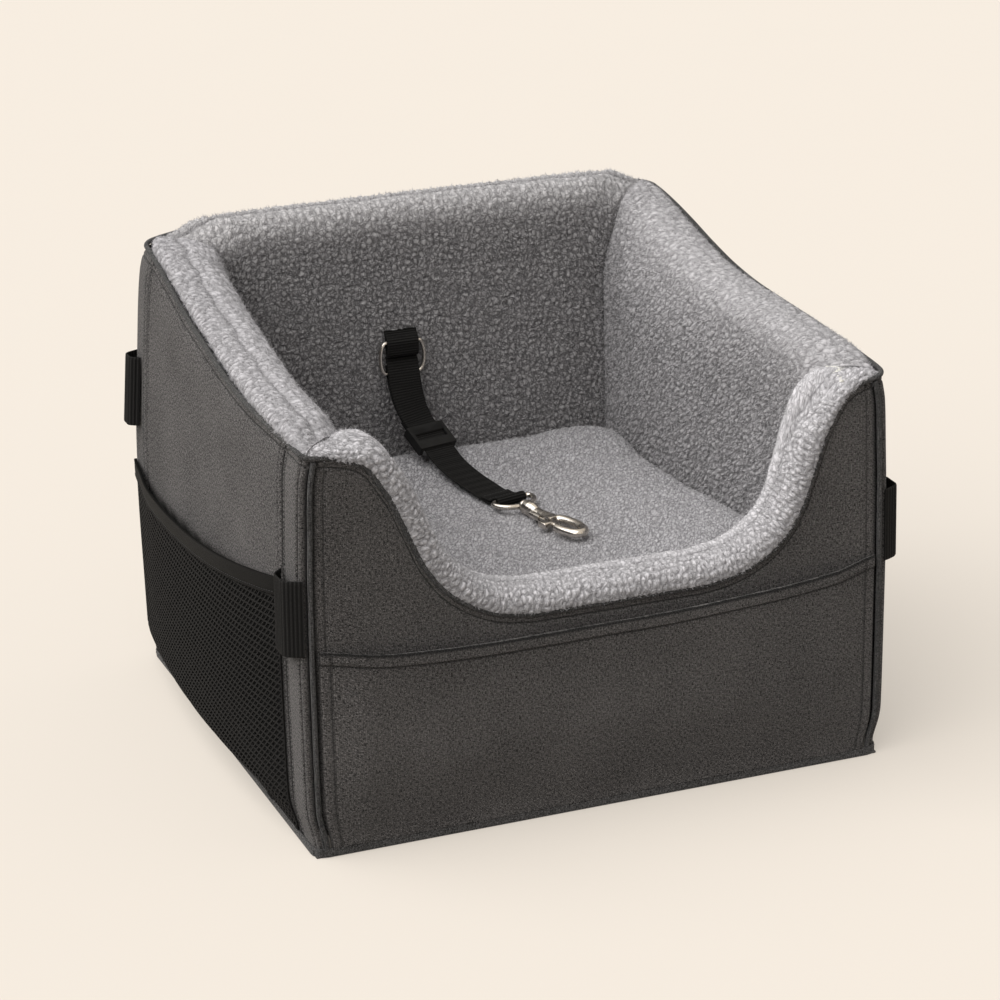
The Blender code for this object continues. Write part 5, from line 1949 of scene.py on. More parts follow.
    def base_rows(self, stations: Array) -> tuple[Array, Array, Array, int, int]:
        """Points of the fleece's backing before its curls.

        Args:
            stations: distances along the outermost row.

        Returns:
            Points as (stations, rows, 3), distances along the wall, the distance run down the
            section, how many rows lie on the rim, and how many of the last ones are hidden.
        """
        tub = self.tub
        inset, over = self.profile()
        run = run_lengths(joined(inset, over))
        crest_run = float(np.interp(self.top, inset[len(inset) // 3:], run[len(inset) // 3:]))
        highest = float(np.max(tub.rim(self.side, stations)))
        depth = highest - tub.rim_drop - self.hidden_depth
        shares = np.linspace(0, 1, round(depth / (self.wall_row * self.form.row_share)) + 1)[1:]
        under = np.array([
            (tub.wall, mix(self.hidden_depth, tub.layer_base, 0.4)),
            (tub.wall, mix(self.hidden_depth, tub.layer_base, 0.75)),
            (tub.wall, tub.layer_base), (tub.wall - tub.lining, tub.layer_base)])
        behind = np.array([
            (tub.wall - tub.lining, -tub.rim_drop), (tub.wall - tub.lining - 0.003, -0.003),
            (self.top + 0.004, tub.rim_rise - tub.lining),
            (self.top - 0.004, tub.rim_rise - tub.lining),
            (tub.board_inset + tub.lining, -tub.rim_hem), (tub.board_inset, -tub.rim_hem)])
        count, flat = len(shares), len(under)
        thick = ease((np.concatenate([run, run[-1] + shares * depth]) - crest_run) / 0.085)
        points, along = self.mitred(
            stations,
            np.concatenate([inset, np.full(count, tub.wall), under[:, 0], behind[:, 0]]),
            np.concatenate([over, np.full(count + flat, -tub.rim_drop), behind[:, 1]]),
            np.concatenate([thick, [1.0, 1.0, 1.0, 0.0], np.zeros(len(behind))]),
            np.concatenate([np.zeros(len(inset)), shares, np.ones(flat), np.zeros(len(behind))]),
            np.concatenate([np.full(len(inset) + count, self.hidden_depth), under[:, 1],
                            np.zeros(len(behind))]))
        points[:, -1] = points[:, 0]
        steps = np.linalg.norm(np.diff(points, axis=1), axis=-1).mean(axis=0)
        rows = np.concatenate(([0.0], np.cumsum(steps)))
        return points, along, rows, len(inset), flat + len(behind)

    def curls(self, run: Array, rows: Array, rim_rows: int, hidden: int) -> tuple[Array, Array, Array]:
        """Heights of the fleece over its backing.

        Args:
            run: distance along the rim as (stations, rows).
            rows: distance down the section at each row.
            rim_rows: how many of the rows lie on the rim.
            hidden: how many of the last rows are out of sight.

        Returns:
            Heights, the painted shade of the curls and creases, and how far down the wall each point
            lies, which the finish darkens as painted shade, all as (stations, rows).
        """
        seed = 100 + 10 * len(self.side.value) + (5 if self.side is Side.RIGHT else 0)
        s, t = run, np.broadcast_to(rows, run.shape)
        form, edge, least = self.form, self.hem, self.form.least
        inset = self.profile()[0]
        third = len(inset) // 3
        crease_at = rows[third + int(np.argmin(np.abs(inset[third:] - self.top)))]
        (wide, tall), (inner_wide, inner_tall) = form.outer, form.inner
        drift = smooth_noise(joined(s / self.drift_width, t / self.drift_height), seed, 2)
        sway = smooth_noise(joined(s / self.drift_width, 0 * t), seed + 2)
        crease = crease_at + self.crease_sway * sway
        outer_row = t < crease
        lobe_out = np.sin(math.pi * np.clip((t - edge) / (crease - edge), 0, 1)) ** 0.4
        lobe_in = np.clip((t - crease) / 0.007, 0, 1) ** 0.5
        if self.side is Side.RIGHT:
            lobe_out, lobe_in = np.maximum(lobe_out, 0.85), np.maximum(lobe_in, 0.85)
        outer = puffs(joined(s / wide + 0.8 * drift, (t - crease) / tall), seed + 3)
        inner = puffs(joined(s / inner_wide - drift, (t - crease) / inner_tall + 0.5 * drift), seed + 4)
        fine = smooth_noise(joined(s, t) / self.fine_curl, seed + 6, 2)
        wall_lumps = puffs(joined(s / self.wall_curl[0] + drift, t / self.wall_curl[1] + 0.6 * drift),
                           seed + 5)
        on_wall = ease((t - rows[rim_rows - 1] + 0.016) / 0.022)
        rim_form = np.where(outer_row, lobe_out * (0.35 + 0.65 * outer),
                            lobe_in * (least + (1 - least) * inner))
        height = mix(self.rim_height * rim_form, self.wall_height * wall_lumps, on_wall)
        height = height + 0.0003 * fine
        # Painted shade: a dotted dark line along the crease between the two rolls.
        crease_painted_shade = bell(t, crease, 0.0018) * (1 - 0.7 * outer)
        crease_painted_shade = crease_painted_shade * {Side.RIGHT: 0.0, Side.LEFT: 0.5}.get(self.side, 1.0)
        # Painted shade: darker towards the crevices between the puffs and the edges of the roll.
        shade = np.where(outer_row, (0.4 + 0.6 * lobe_out) * (0.12 + 0.88 * outer),
                         least - 0.06 + (1.06 - least) * inner)
        shade = np.clip(shade - 0.5 * crease_painted_shade + 0.10 * fine, 0, 1)
        shade = mix(shade, 0.25 + 0.75 * wall_lumps, on_wall)
        # How far down the wall a point lies, which the finish darkens as painted shade.
        deep = ease((t - crease_at - 0.004) / (0.05 if self.side is Side.REAR else 0.075))
        hem = ease((t - 0.002) / 0.008)
        shown = 1 - ease((rows - rows[-hidden - 1]) / 0.004)
        ends = ease((run - run[:1]) / 0.005) * ease((run[-1:] - run) / 0.005)
        return height * hem * shown[None, :] * mix(0.4, 1.0, ends), shade, deep

    def build(self) -> Obj:
        """Makes the lining and its loose fibres.

        Returns:
            The lining.
        """
        tub = self.tub
        reach = self.outer_reach
        fine = np.linspace(-reach, reach, 1601)
        line = joined(fine, tub.rim(self.side, fine))
        stations = even_stations(fine, line, self.station)
        points, along, rows, rim_rows, hidden = self.base_rows(stations)
        run = np.interp(along, fine, run_lengths(line))
        height, shade, on_wall = self.curls(run, rows, rim_rows, hidden)
        normal = grid_normals(points)
        inward = tub.place(self.side, 0.0, 1.0, 0.0) - tub.place(self.side, 0.0, 0.0, 0.0)
        if np.mean(normal[:, rim_rows + 20] @ inward) < 0:
            normal = -normal
        placed = points + normal * height[..., None]
        uv = joined(run, rows[None, :])
        # pile and wall carry the painted shade of the crevices and of the lower wall.
        item = cover(self.side.value + "_fleece", placed, uv, {"pile": shade, "wall": on_wall})
        fit(item, self.finish, Body.TUB, self.side.value + "_lining")
        self.fuzz(placed, normal, rim_rows, hidden)
        return item

    def fuzz(self, placed: Array, normal: Array, rim_rows: int, hidden: int) -> Obj:
        """Loose fibres that stand off the rim and the upper wall.

        Args:
            placed: the fleece's points.
            normal: its directions.
            rim_rows: how many of the rows lie on the rim.
            hidden: how many of the last rows are out of sight.

        Returns:
            The piece.
        """
        seed = 7 + len(self.side.value) + (3 if self.side is Side.RIGHT else 0)
        random = np.random.default_rng(seed)
        station = random.integers(2, placed.shape[0] - 2, self.fibres)
        reach = rim_rows + (placed.shape[1] - hidden - rim_rows) * 0.9
        row = (9 + (reach - 9) * random.random(self.fibres) ** 1.6).astype(int)
        centres = placed[station, row] + random.normal(0, 0.0004, (self.fibres, 3))
        grown = unit(normal[station, row] + random.normal(0, 0.55, (self.fibres, 3)))
        return hairs(self.side.value + "_fuzz", centres, grown, random)


def hairs(name: str, centres: Array, grown: Array, random: np.random.Generator) -> Obj:
    """Short pointed fibres.

    Args:
        name: the piece's name.
        centres: where they stand.
        grown: the way that each one points.
        random: the seeded source of their lengths.

    Returns:
        The piece.
    """
    seed = bmesh.new()
    bmesh.ops.create_cone(seed, cap_ends=True, cap_tris=False, segments=3, radius1=0.5, radius2=0.0,
                          depth=1.0)
    side = unit(np.cross(grown, np.array([0.31, 0.52, 0.8])))
    other = np.cross(grown, side)
    length = random.uniform(0.0012, 0.0028, (len(centres), 1))
    width = random.uniform(0.0003, 0.0006, (len(centres), 1))
    item = scatter(name, seed, centres + grown * length * 0.35,
                   (side * width, other * width, grown * length))
    return fit(item, FUZZ, Body.TUB)


@dataclass
class Cushion:
    """The lift-out cushion: swelled by a cloth simulation, then given its pile."""

    thickness: float = 0.0495
    crown: float = 0.0030
    clearance: float = 0.0012
    edge_radius: float = 0.0100
    corner_radius: float = 0.0300
    side_draw: float = 0.0040
    pile: float = 0.0085
    voxel: float = 0.0055
    pressure: float = 4.0
    swell_cap: float = 0.0050
    frames: int = 20
    rear_rise: float = 0.0090
    side_rise: float = 0.0048
    hollow: float = 0.0008
    hollow_centre: float = 0.0100
    curl: float = 0.0058
    curl_height: float = 0.0019
    sag: float = 0.0012
    comb: Triple = (0.55, -0.35, 0.35)
    fibres: int = 24000
    tub: TubShape = TUB

    @property
    def base(self) -> float:
        """Where the cushion lies on the riser."""
        return self.tub.layer_base + self.tub.riser + self.tub.gap

    def half_sizes(self) -> tuple[float, float]:
        """Half its width at the front and half its depth, clear of the linings."""
        return self.tub.cavity_half_width - self.clearance, self.tub.cavity_half_depth - self.clearance

    def pad(self) -> Obj:
        """The plain pad before it swells.

        Returns:
            A closed block with rounded corners and edges.
        """
        half_x, half_y = self.half_sizes()
        shape = bmesh.new()
        bmesh.ops.create_cube(shape, size=1)
        height = self.thickness - self.crown
        bmesh.ops.scale(shape, vec=Vector((2 * half_x, 2 * half_y, height)), verts=shape.verts[:])
        upright = [e for e in shape.edges if abs(e.verts[0].co.z - e.verts[1].co.z) > height / 2]
        bmesh.ops.bevel(shape, geom=upright, offset=self.corner_radius, segments=6, profile=0.5,
                        affect="EDGES", material=-1)
        level = [e for e in shape.edges if abs(e.verts[0].co.z - e.verts[1].co.z) < height / 9]
        level = [e for e in level if len(e.link_faces) == 2
                 and abs(e.link_faces[0].normal.z - e.link_faces[1].normal.z) > 0.5]
        bmesh.ops.bevel(shape, geom=level, offset=self.edge_radius, segments=4, profile=0.5,
                        affect="EDGES", material=-1)
        bmesh.ops.translate(shape, vec=Vector((0, 0, self.base + height / 2)), verts=shape.verts[:])
        return link_shape("seat_cushion", shape)

    def swell(self, item: Obj) -> None:
        """Lets the pad's cover swell a little under pressure, no further than the cap.

        Args:
            item: the pad, whose mesh is replaced.
        """
        modify(item, "REMESH", mode="VOXEL", voxel_size=self.voxel)
        apply_modifiers(item)
        before = read_points(item.data)
        cloth = modify(item, "CLOTH")
        cloth.settings.use_pressure = True
        cloth.settings.uniform_pressure_force = self.pressure
        cloth.settings.effector_weights.gravity = 0
        for frame in range(1, self.frames + 1):
            bpy.context.scene.frame_set(frame)
        evaluated = item.evaluated_get(bpy.context.evaluated_depsgraph_get())
        swelled = read_points(evaluated.data)
        item.modifiers.clear()
        bpy.context.scene.frame_set(1)
        moved = swelled - before
        length = np.linalg.norm(moved, axis=1, keepdims=True)
        moved *= np.minimum(1.0, self.swell_cap / np.maximum(length, 1e-9))
        before = before + moved
        write_points(item.data, before)

    def settle(self, points: Array) -> Array:
        """Keeps the pad inside its hollow and flat on the riser, with a crown and drawn-in sides.

        Args:
            points: the swelled points.

        Returns:
            The settled points.
        """
        half_x, half_y = self.half_sizes()
        x, y, z = points.T
        low, high = points.min(axis=0), points.max(axis=0)
        x = x * 2 * half_x / (high[0] - low[0])
        y = y * 2 * half_y / (high[1] - low[1])
        aside = np.abs(x - self.hollow_centre)
        at_rear = ease((y - 0.060) / 0.06)
        at_sides = ease((aside - 0.055) / 0.05) * ease((0.16 - y) / 0.1)
        in_middle = ease((0.11 - aside) / 0.05) * ease((0.15 - np.abs(y)) / 0.04)
        raised = (self.thickness + self.rear_rise * at_rear + self.side_rise * at_sides
                  - self.hollow * in_middle)
        z = self.base + (z - low[2]) * raised / (high[2] - low[2])
        x = x * (1 - self.tub.thickening(y) / half_x)
        across = 1 - self.side_draw / half_x * np.maximum(0.0, 1 - (y / half_y) ** 2)
        along = 1 - self.side_draw / half_y * np.maximum(0.0, 1 - (x / half_x) ** 2)
        return joined(x * across, y * along, z)

    def build(self) -> Obj:
        """Makes the cushion and its loose fibres.

        Returns:
            The cushion.
        """
        item = self.pad()
        self.swell(item)
        write_points(item.data, self.settle(read_points(item.data)))
        modify(item, "SUBSURF", levels=2, render_levels=2)
        apply_modifiers(item)
        points = read_points(item.data)
        normal = np.empty(points.size)
        item.data.vertices.foreach_get("normal", normal)
        normal = normal.reshape(-1, 3)
        plan = points[:, :2]
        drift = smooth_noise(plan / 0.03, 71, 2)
        lumps = puffs(plan / self.curl + 0.9 * drift[:, None], 72) ** 0.7
        soft = smooth_noise(points / 0.045, 73, 2)
        above = ease((points[:, 2] - self.base - 0.012) / 0.02)
        height = (self.pile * 0.80 + self.curl_height * lumps + self.sag * soft) * above
        sideways = 1 - 0.78 * (1 - np.clip(normal[:, 2], 0, 1))
        placed = points + normal * (height * sideways)[:, None]
        half_x, half_y = self.half_sizes()
        limit = half_x - self.tub.thickening(placed[:, 1])
        placed[:, 0] = np.clip(placed[:, 0], -limit, limit)
        placed[:, 1] = np.clip(placed[:, 1], -half_y, half_y)
        placed = self.tub.lean(placed)
        write_points(item.data, placed)
        # pile darkens the gaps between the lumps as painted shade; wall set to 1 darkens the whole
        # cushion as the painted shade inside the tub.
        for mark, values in (("pile", 0.30 + 0.70 * lumps), ("wall", np.ones(len(lumps)))):
            attribute = item.data.attributes.new(mark, "FLOAT", "POINT")
            attribute.data.foreach_set("value", values.astype(np.float32))
        item.data.shade_smooth()
        item.name = item.data.name = "seat_cushion"
        fit(item, CUSHION_FLEECE, Body.TUB, "cushion")
        random = np.random.default_rng(5)
        chosen = np.flatnonzero(placed[:, 2] > self.base + self.thickness * 0.8)
        chosen = random.choice(chosen, self.fibres)
        grown = unit(normal[chosen] * 0.6 + self.comb + random.normal(0, 0.4, (self.fibres, 3)))
        hairs("cushion_fuzz", placed[chosen], grown, random)
        return item


# ---------------------------------------------------------------- webbing and fittings


@dataclass
class Route:
    """A webbing's middle line with its width direction and its normal."""

    points: list[Array] = field(default_factory=list)
    across: list[Array] = field(default_factory=list)
    normal: list[Array] = field(default_factory=list)

    def add(self, point: Array, across: Array, normal: Array) -> None:
        """Adds one place to the end of the line.

        Args:
            point: the place.
            across: the width's direction.
            normal: the face's direction.
        """
        self.points.append(np.asarray(point, float))
        self.across.append(np.asarray(across, float))
        self.normal.append(np.asarray(normal, float))

    def even(self, spacing: float) -> tuple[Array, Array, Array]:
        """The line at even steps.

        Args:
            spacing: the distance wanted between places.

        Returns:
            Points, width directions and normals.
        """
        tables = np.array([self.points, self.across, self.normal])
        run = run_lengths(tables[0])
        places = np.linspace(0, run[-1], max(2, round(run[-1] / spacing)) + 1)
        line, across, normal = (read_along(places, run, table) for table in tables)
        return line, unit(across), unit(normal)


@dataclass
class Ribbon:
    """Flat webbing with ribs across it and slightly rounded edges."""

    half_width: float = 0.0125
    thickness: float = 0.0015
    rib_pitch: float = 0.0016
    rib_depth: float = 0.00042
    step: float = 0.0004
    edge_round: float = 0.0006

    def build(self, name: str, route: Route) -> Obj:
        """Makes the webbing along a route.

        Args:
            name: the piece's name.
            route: its middle line.

        Returns:
            The piece.
        """
        points, across, normal = route.even(self.step)
        run = run_lengths(points)
        rib = self.rib_depth * (0.5 - 0.5 * np.cos(2 * math.pi * run / self.rib_pitch))
        half = self.thickness / 2
        wide = self.half_width
        shares = np.array([-1.0, -1 + self.edge_round / wide, -0.9, -0.45, 0.0, 0.45, 0.9,
                           1 - self.edge_round / wide, 1.0])
        fall = np.array([0.45, 0.92, 1, 1, 1, 1, 1, 0.92, 0.45])
        ribbed = np.array([0, 0.5, 1, 1, 1, 1, 1, 0.5, 0])
        top = half * fall - rib[:, None] * ribbed
        x = np.concatenate([shares, shares[::-1], shares[:1]]) * wide
        z = np.concatenate([top, -top[:, ::-1], top[:, :1]], axis=1)
        placed = points[:, None] + across[:, None] * x[:, None] + normal[:, None] * z[..., None]
        uv = joined(run[:, None], x[None, :])
        return cover(name, placed, uv, sharp=math.radians(80))


@dataclass
class BeltLoops:
    """Webbing loops over the four corner strips."""

    height: float = 0.0530
    webbing: float = 0.0016
    stand: float = 0.0070
    margin: float = 0.0020
    front_centre: float = 0.1735
    rear_centre: float = 0.2205
    stands: SmoothCurve = SmoothCurve((
        (0.0, 0.0), (0.07, 0.3), (0.17, 0.76), (0.29, 1.0), (0.71, 1.0), (0.83, 0.76), (0.93, 0.3),
        (1.0, 0.0)))
    tub: TubShape = TUB

    def build(self, stitching: Stitching) -> None:
        """Makes the four loops.

        Args:
            stitching: where their ends are sewn.
        """
        tub = self.tub
        ribbon = Ribbon(self.height / 2, self.webbing, rib_pitch=0.0027, rib_depth=0.00055)
        for name, sign_x, sign_y in CORNERS:
            centre = self.front_centre if sign_y < 0 else self.rear_centre
            share = np.linspace(0, 1, 90)
            inner = tub.seam_distance + (self.margin if sign_y < 0 else 0.0100)
            along = mix(tub.half_depth - self.margin * 0.3, inner, share)
            turned = np.maximum(0.0, along - (tub.half_depth - tub.corner_radius))
            surface = tub.half_width - tub.corner_radius + np.sqrt(tub.corner_radius**2 - turned**2)
            out = surface + tub.gap + self.stand * self.stands.at(share) + self.webbing / 2
            line = tub.swell(joined(sign_x * out, sign_y * along, centre))
            normal = unit(np.cross(unit(np.gradient(line, axis=0)), UP)) * sign_x * sign_y
            tilt = tub.swell(line + UP * 0.01) - tub.swell(line)
            item = ribbon.build(name + "_loop", Route(list(line), list(unit(tilt)), list(normal)))
            fit(item, LOOP_WEBBING, Body.TUB, name + "_belt_loop")
            for edge in (3, 86):
                ends = line[edge] + np.outer([-0.46, 0.46], UP) * self.height
                stitching.sew(ends + normal[edge] * self.webbing * 0.55, normal[edge])


@dataclass
class TetherShape:
    """Where the tether's fittings are, in metres, and the strap's line between them."""

    width: float = 0.0250
    thickness: float = 0.0015
    heading_angle: float = math.radians(13.9)
    anchor_x: float = -0.0200
    loop_height: float = 0.0085
    bar_height: float = 0.2400
    wire: float = 0.0015
    ring_depth: float = 0.0240
    ring_bow: float = 0.0045
    side_clearance: float = 0.0005
    wall_distance: float = 0.0060
    reach: float = 0.1370
    slider_length: float = 0.0225
    slider_rail: float = 0.0030
    slider_top: float = 0.0016
    slider_bar: float = 0.0024
    slider_bar_length: float = 0.0042
    slider_window: float = 0.0070
    travel: float = 0.0080
    short_leg: float = 0.0050
    long_leg: float = 0.0220
    loose_turn: float = 0.0100
    loose_tab: float = 0.0085
    flap: float = 0.0200
    eye_wire: float = 0.0020
    slider_share: float = 0.257
    turn_share: float = 0.16
    pile: float = 0.0096
    line: SmoothCurve = SmoothCurve((
        (0.0, 1.0), (0.025, 0.87), (0.062, 0.72), (0.105, 0.575), (0.15, 0.4667), (0.17, 0.4433),
        (0.39, 0.1866), (0.41, 0.1633), (0.5, 0.098), (0.61, 0.05), (0.73, 0.02), (0.83, 0.005),
        (0.92, 0.0), (1.0, 0.0)))
    tub: TubShape = TUB

    def __post_init__(self) -> None:
        """Works out the places that follow from the sizes."""
        cushion = Cushion()
        wall = self.tub.lean(np.array([0.0, self.tub.cavity_half_depth, self.bar_height]))[1]
        self.ring_bar = np.array([self.anchor_x, wall - self.wall_distance, self.bar_height])
        self.tether_bar = self.ring_bar - np.array([0.0, 0.0, self.ring_depth])
        self.lie = cushion.base + cushion.thickness + self.pile + self.thickness / 2
        self.drop = self.tether_bar[2] - self.lie
        cos, sin = math.cos(self.heading_angle), math.sin(self.heading_angle)
        self.heading, self.sideways = np.array([sin, -cos, 0.0]), np.array([cos, sin, 0.0])
        self.pitch = self.thickness + self.tub.gap
        self.ring_turn = self.wire + self.tub.gap + self.thickness / 2
        self.eye_turn = self.eye_wire + self.tub.gap + self.thickness / 2
        self.bar_half = self.width / 2 + self.side_clearance
        self.eye_bar = self.tether_bar + self.heading * self.reach
        self.eye_bar[2] = self.lie + self.eye_turn

    def frame(self, share: float) -> tuple[Array, Array, Array]:
        """Middle of the strap at a share of its reach.

        Args:
            share: how far along it.

        Returns:
            The point, the width direction and the normal.
        """
        def centre(at: float) -> Array:
            """The route's middle line.

            Args:
                at: how far along it.

            Returns:
                The place.
            """
            turned = [ease(at / self.turn_share), 1, 1]
            place = self.tether_bar + self.heading * self.reach * at * turned
            place[2] = self.lie + self.drop * self.line.at(at)
            return place

        step = self.turn_share * 0.0025
        forward = unit(centre(share + step) - centre(max(share - step, 0.0)))
        across = unit(mix(ACROSS, self.sideways, ease(share / self.turn_share)))
        normal = unit(np.cross(forward, across))
        return centre(share), unit(np.cross(normal, forward)), normal


@dataclass
class Tether:
    """Webbing tab, ring, strap and slider."""

    form: TetherShape = field(default_factory=TetherShape)
    turn_steps: int = 20

    def webbing(self, name: str, route: Route, body: Body, node: str) -> Obj:
        """The strap's webbing along a route."""
        item = Ribbon(self.form.width / 2, self.form.thickness).build(name, route)
        return fit(item, STRAP_WEBBING, body, node)

    def anchor(self) -> Obj:
        """The webbing tab on the rear wall.

        Returns:
            The piece.
        """
        form = self.form
        far = form.wall_distance - form.tub.gap - form.thickness / 2
        legs = np.linspace(1, 0, 16)
        centres = [(mix(form.ring_turn, far, float(ease(rise))), form.loop_height * rise)
                   for rise in legs]
        for angle in np.linspace(0, math.pi, self.turn_steps + 1)[1:]:
            centres.append((form.ring_turn * math.cos(angle),
                            -form.ring_turn * math.sin(angle)
                            - form.loose_tab * math.sin(angle) ** 0.5))
        for rise in legs[::-1][1:]:
            centres.append((mix(-form.ring_turn, far - form.pitch, float(ease(rise))),
                            form.loop_height * rise))
        line = form.ring_bar + np.array([(0.0, y, z) for y, z in centres])
        normal = unit(np.cross(ACROSS, np.gradient(line, axis=0)))
        route = Route(list(line), [ACROSS] * len(line), list(normal))
        return self.webbing("anchor_tab", route, Body.TUB, "anchor_loop")

    def ring(self) -> Obj:
        """The wire ring.

        Returns:
            The piece.
        """
        form = self.form
        half = form.ring_depth / 2
        angle = np.linspace(-math.pi / 2, math.pi / 2, 33)
        right = joined(form.bar_half + form.ring_bow * np.cos(angle), half * np.sin(angle))
        left = right[::-1] * np.array([-1.0, 1.0])
        plane = np.vstack([right, left, right[:1]])
        line = joined(plane[:, 0], 0 * plane[:, 0], plane[:, 1] - half) + form.ring_bar
        side, up = frames_along(line, BACK, closed=True)
        item = swept("wire_ring", line, side, up, round_outline(form.wire, 20))
        return fit(item, NICKEL, Body.RING, "d_ring")

    def strap(self, stitching: Stitching) -> Obj:
        """The strap: back leg, turn round the ring, long leg, and the sewn eye fold.

        Args:
            stitching: where the fold is sewn.

        Returns:
            The piece.
        """
        form = self.form
        point, across, normal = form.frame(form.slider_share)
        level = float(np.cross(across, normal) @ form.heading) / form.reach
        back_end = form.slider_share - (form.short_leg + form.travel + 2 * form.tub.gap) * level
        route = Route()

        def offset(share: float) -> float:
            """The route at a distance from its middle line."""
            return float(mix(form.ring_turn, form.pitch / 2, ease(share / 0.12)))

        for share in np.linspace(back_end, 0.012, 50):
            point, across, normal = form.frame(share)
            route.add(point - normal * offset(share), across, normal)
        point, across, normal = form.frame(0.0)
        upward = np.cross(normal, across)
        for angle in np.linspace(0, math.pi, self.turn_steps + 1):
            out = -normal * math.cos(angle) + upward * math.sin(angle)
            raised = upward * form.loose_turn * math.sin(angle) ** 0.5
            route.add(point + out * form.ring_turn + raised, across, -out)
        for share in np.linspace(0.012, 1.0, 130):
            point, across, normal = form.frame(share)
            apart = offset(share) * (1 - float(ease((share - 0.7) / 0.2)))
            route.add(point + normal * apart, across, -normal)
        for angle in np.linspace(0, math.pi, self.turn_steps + 1)[1:]:
            out = -UP * math.cos(angle) + form.heading * math.sin(angle)
            route.add(form.eye_bar + out * form.eye_turn, form.sideways, out)
        lowered = 2 * form.eye_turn - form.pitch
        for share in np.linspace(0.0, 1.0, 24)[1:]:
            height = form.eye_turn - lowered * float(ease(share / 0.5))
            back = form.eye_bar - form.heading * form.flap * share
            route.add(back + UP * height, form.sideways, UP)
        for share in (0.55, 0.9):
            middle = form.eye_bar - form.heading * form.flap * share
            middle[2] = form.lie + form.pitch + form.thickness / 2
            stitching.sew(middle + np.outer([-0.44, 0.44], form.sideways) * form.width, UP)
        return self.webbing("tether_webbing", route, Body.TETHER, "tether_strap")

    def slider(self) -> Obj:
        """The three-bar slider.

        Returns:
            The piece.
        """
        form = self.form
        point, across, normal = form.frame(form.slider_share)
        forward = np.cross(across, normal)
        outer_half = form.bar_half + form.slider_rail
        channel_top = form.pitch / 2 + form.thickness / 2 + form.tub.gap
        fold_top = -form.pitch / 2 + form.thickness / 2
        bar_top = fold_top - form.thickness - form.tub.gap
        bar_low = bar_top - form.slider_bar
        half, half_bar = form.slider_length / 2, form.slider_bar_length / 2
        top = channel_top + form.slider_top
        item = block("strap_slider", (-half, -outer_half, bar_low), (half, outer_half, top))
        cuts = [
            ((-half * 2, -form.bar_half, bar_top), (half * 2, form.bar_half, channel_top)),
            ((-half * 2, -form.bar_half, bar_low * 2), (-half_bar, form.bar_half, channel_top)),
            ((half_bar, -form.bar_half, bar_low * 2), (half * 2, form.bar_half, channel_top)),
            ((-form.slider_window / 2, -form.bar_half, fold_top),
             (form.slider_window / 2, form.bar_half, top * 2))]
        for low, high in cuts:
            cut(item, block("cutter", low, high))
        round_edges(item, 0.0007, 3)
        turn = joined(forward, across, normal)
        write_points(item.data, read_points(item.data) @ turn.T + point)
        return fit(item, SLIDER_PLASTIC, Body.SLIDER, "slider")

    def end_fold(self) -> Obj:
        """The sewn strap end round the slider's bar.

        Returns:
            The piece.
        """
        form = self.form
        point, across, normal = form.frame(form.slider_share)
        forward = np.cross(across, normal)
        fold_top = -form.pitch / 2 + form.thickness / 2
        bar_low = fold_top - form.thickness - form.tub.gap - form.slider_bar
        upper = fold_top - form.thickness / 2
        lower = bar_low - form.tub.gap - form.thickness / 2
        middle, radius = (upper + lower) / 2, (upper - lower) / 2
        bow = form.slider_bar_length / 2 + form.tub.gap
        plan = [(x, upper, 0.0, 1.0) for x in np.linspace(-form.short_leg, bow, 6)]
        for angle in np.linspace(0, math.pi, self.turn_steps + 1)[1:]:
            plan.append((bow + radius * math.sin(angle), middle + radius * math.cos(angle),
                         math.sin(angle), math.cos(angle)))
        risen = upper - form.pitch
        for share in np.linspace(0, 1, 24):
            z = mix(lower, risen, float(ease((share - 0.15) / 0.3)))
            plan.append((-form.long_leg * share, z, 0.0, -1.0))
        route = Route()
        for x, z, out_x, out_z in plan:
            route.add(point + forward * x + normal * z, across, forward * out_x + normal * out_z)
        return self.webbing("strap_end", route, Body.SLIDER, "strap_end_fold")

    def build(self) -> None:
        """Makes the tether without its snap."""
        self.anchor()
        self.ring()
        sewn = Stitching(length=0.0018, pitch=0.0022, thickness=0.0005)
        self.strap(sewn)
        sewn.finish("tether_stitches", SEAM_THREAD, Body.TETHER)
        self.slider()
        self.end_fold()


def block(name: str, low: Sequence[float], high: Sequence[float]) -> Obj:
    """A block between two corners.

    Args:
        name: its name.
        low: its lowest corner.
        high: its highest corner.

    Returns:
        The block.
    """
    shape = bmesh.new()
    bmesh.ops.create_cube(shape, size=1)
    size = Vector(high) - Vector(low)
    bmesh.ops.scale(shape, vec=size, verts=shape.verts[:])
    bmesh.ops.translate(shape, vec=(Vector(high) + Vector(low)) / 2, verts=shape.verts[:])
    return link_shape(name, shape)


def cut(item: Obj, cutter: Obj, operation: str = "DIFFERENCE") -> None:
    """Cuts a piece with another, or joins them, and removes the other.

    Args:
        item: the piece.
        cutter: the other piece.
        operation: DIFFERENCE or UNION.
    """
    modify(item, "BOOLEAN", operation=operation, object=cutter)
    apply_modifiers(item)
    bpy.data.objects.remove(cutter, do_unlink=True)


def round_edges(item: Obj, width: float, segments: int) -> None:
    """Rounds the sharp edges of a piece.

    Args:
        item: the piece.
        width: how wide the rounding is.
        segments: its steps.
    """
    modify(item, "BEVEL", width=width, segments=segments, limit_method="ANGLE",
           angle_limit=math.radians(35))
    apply_modifiers(item)
    item.data.shade_smooth()


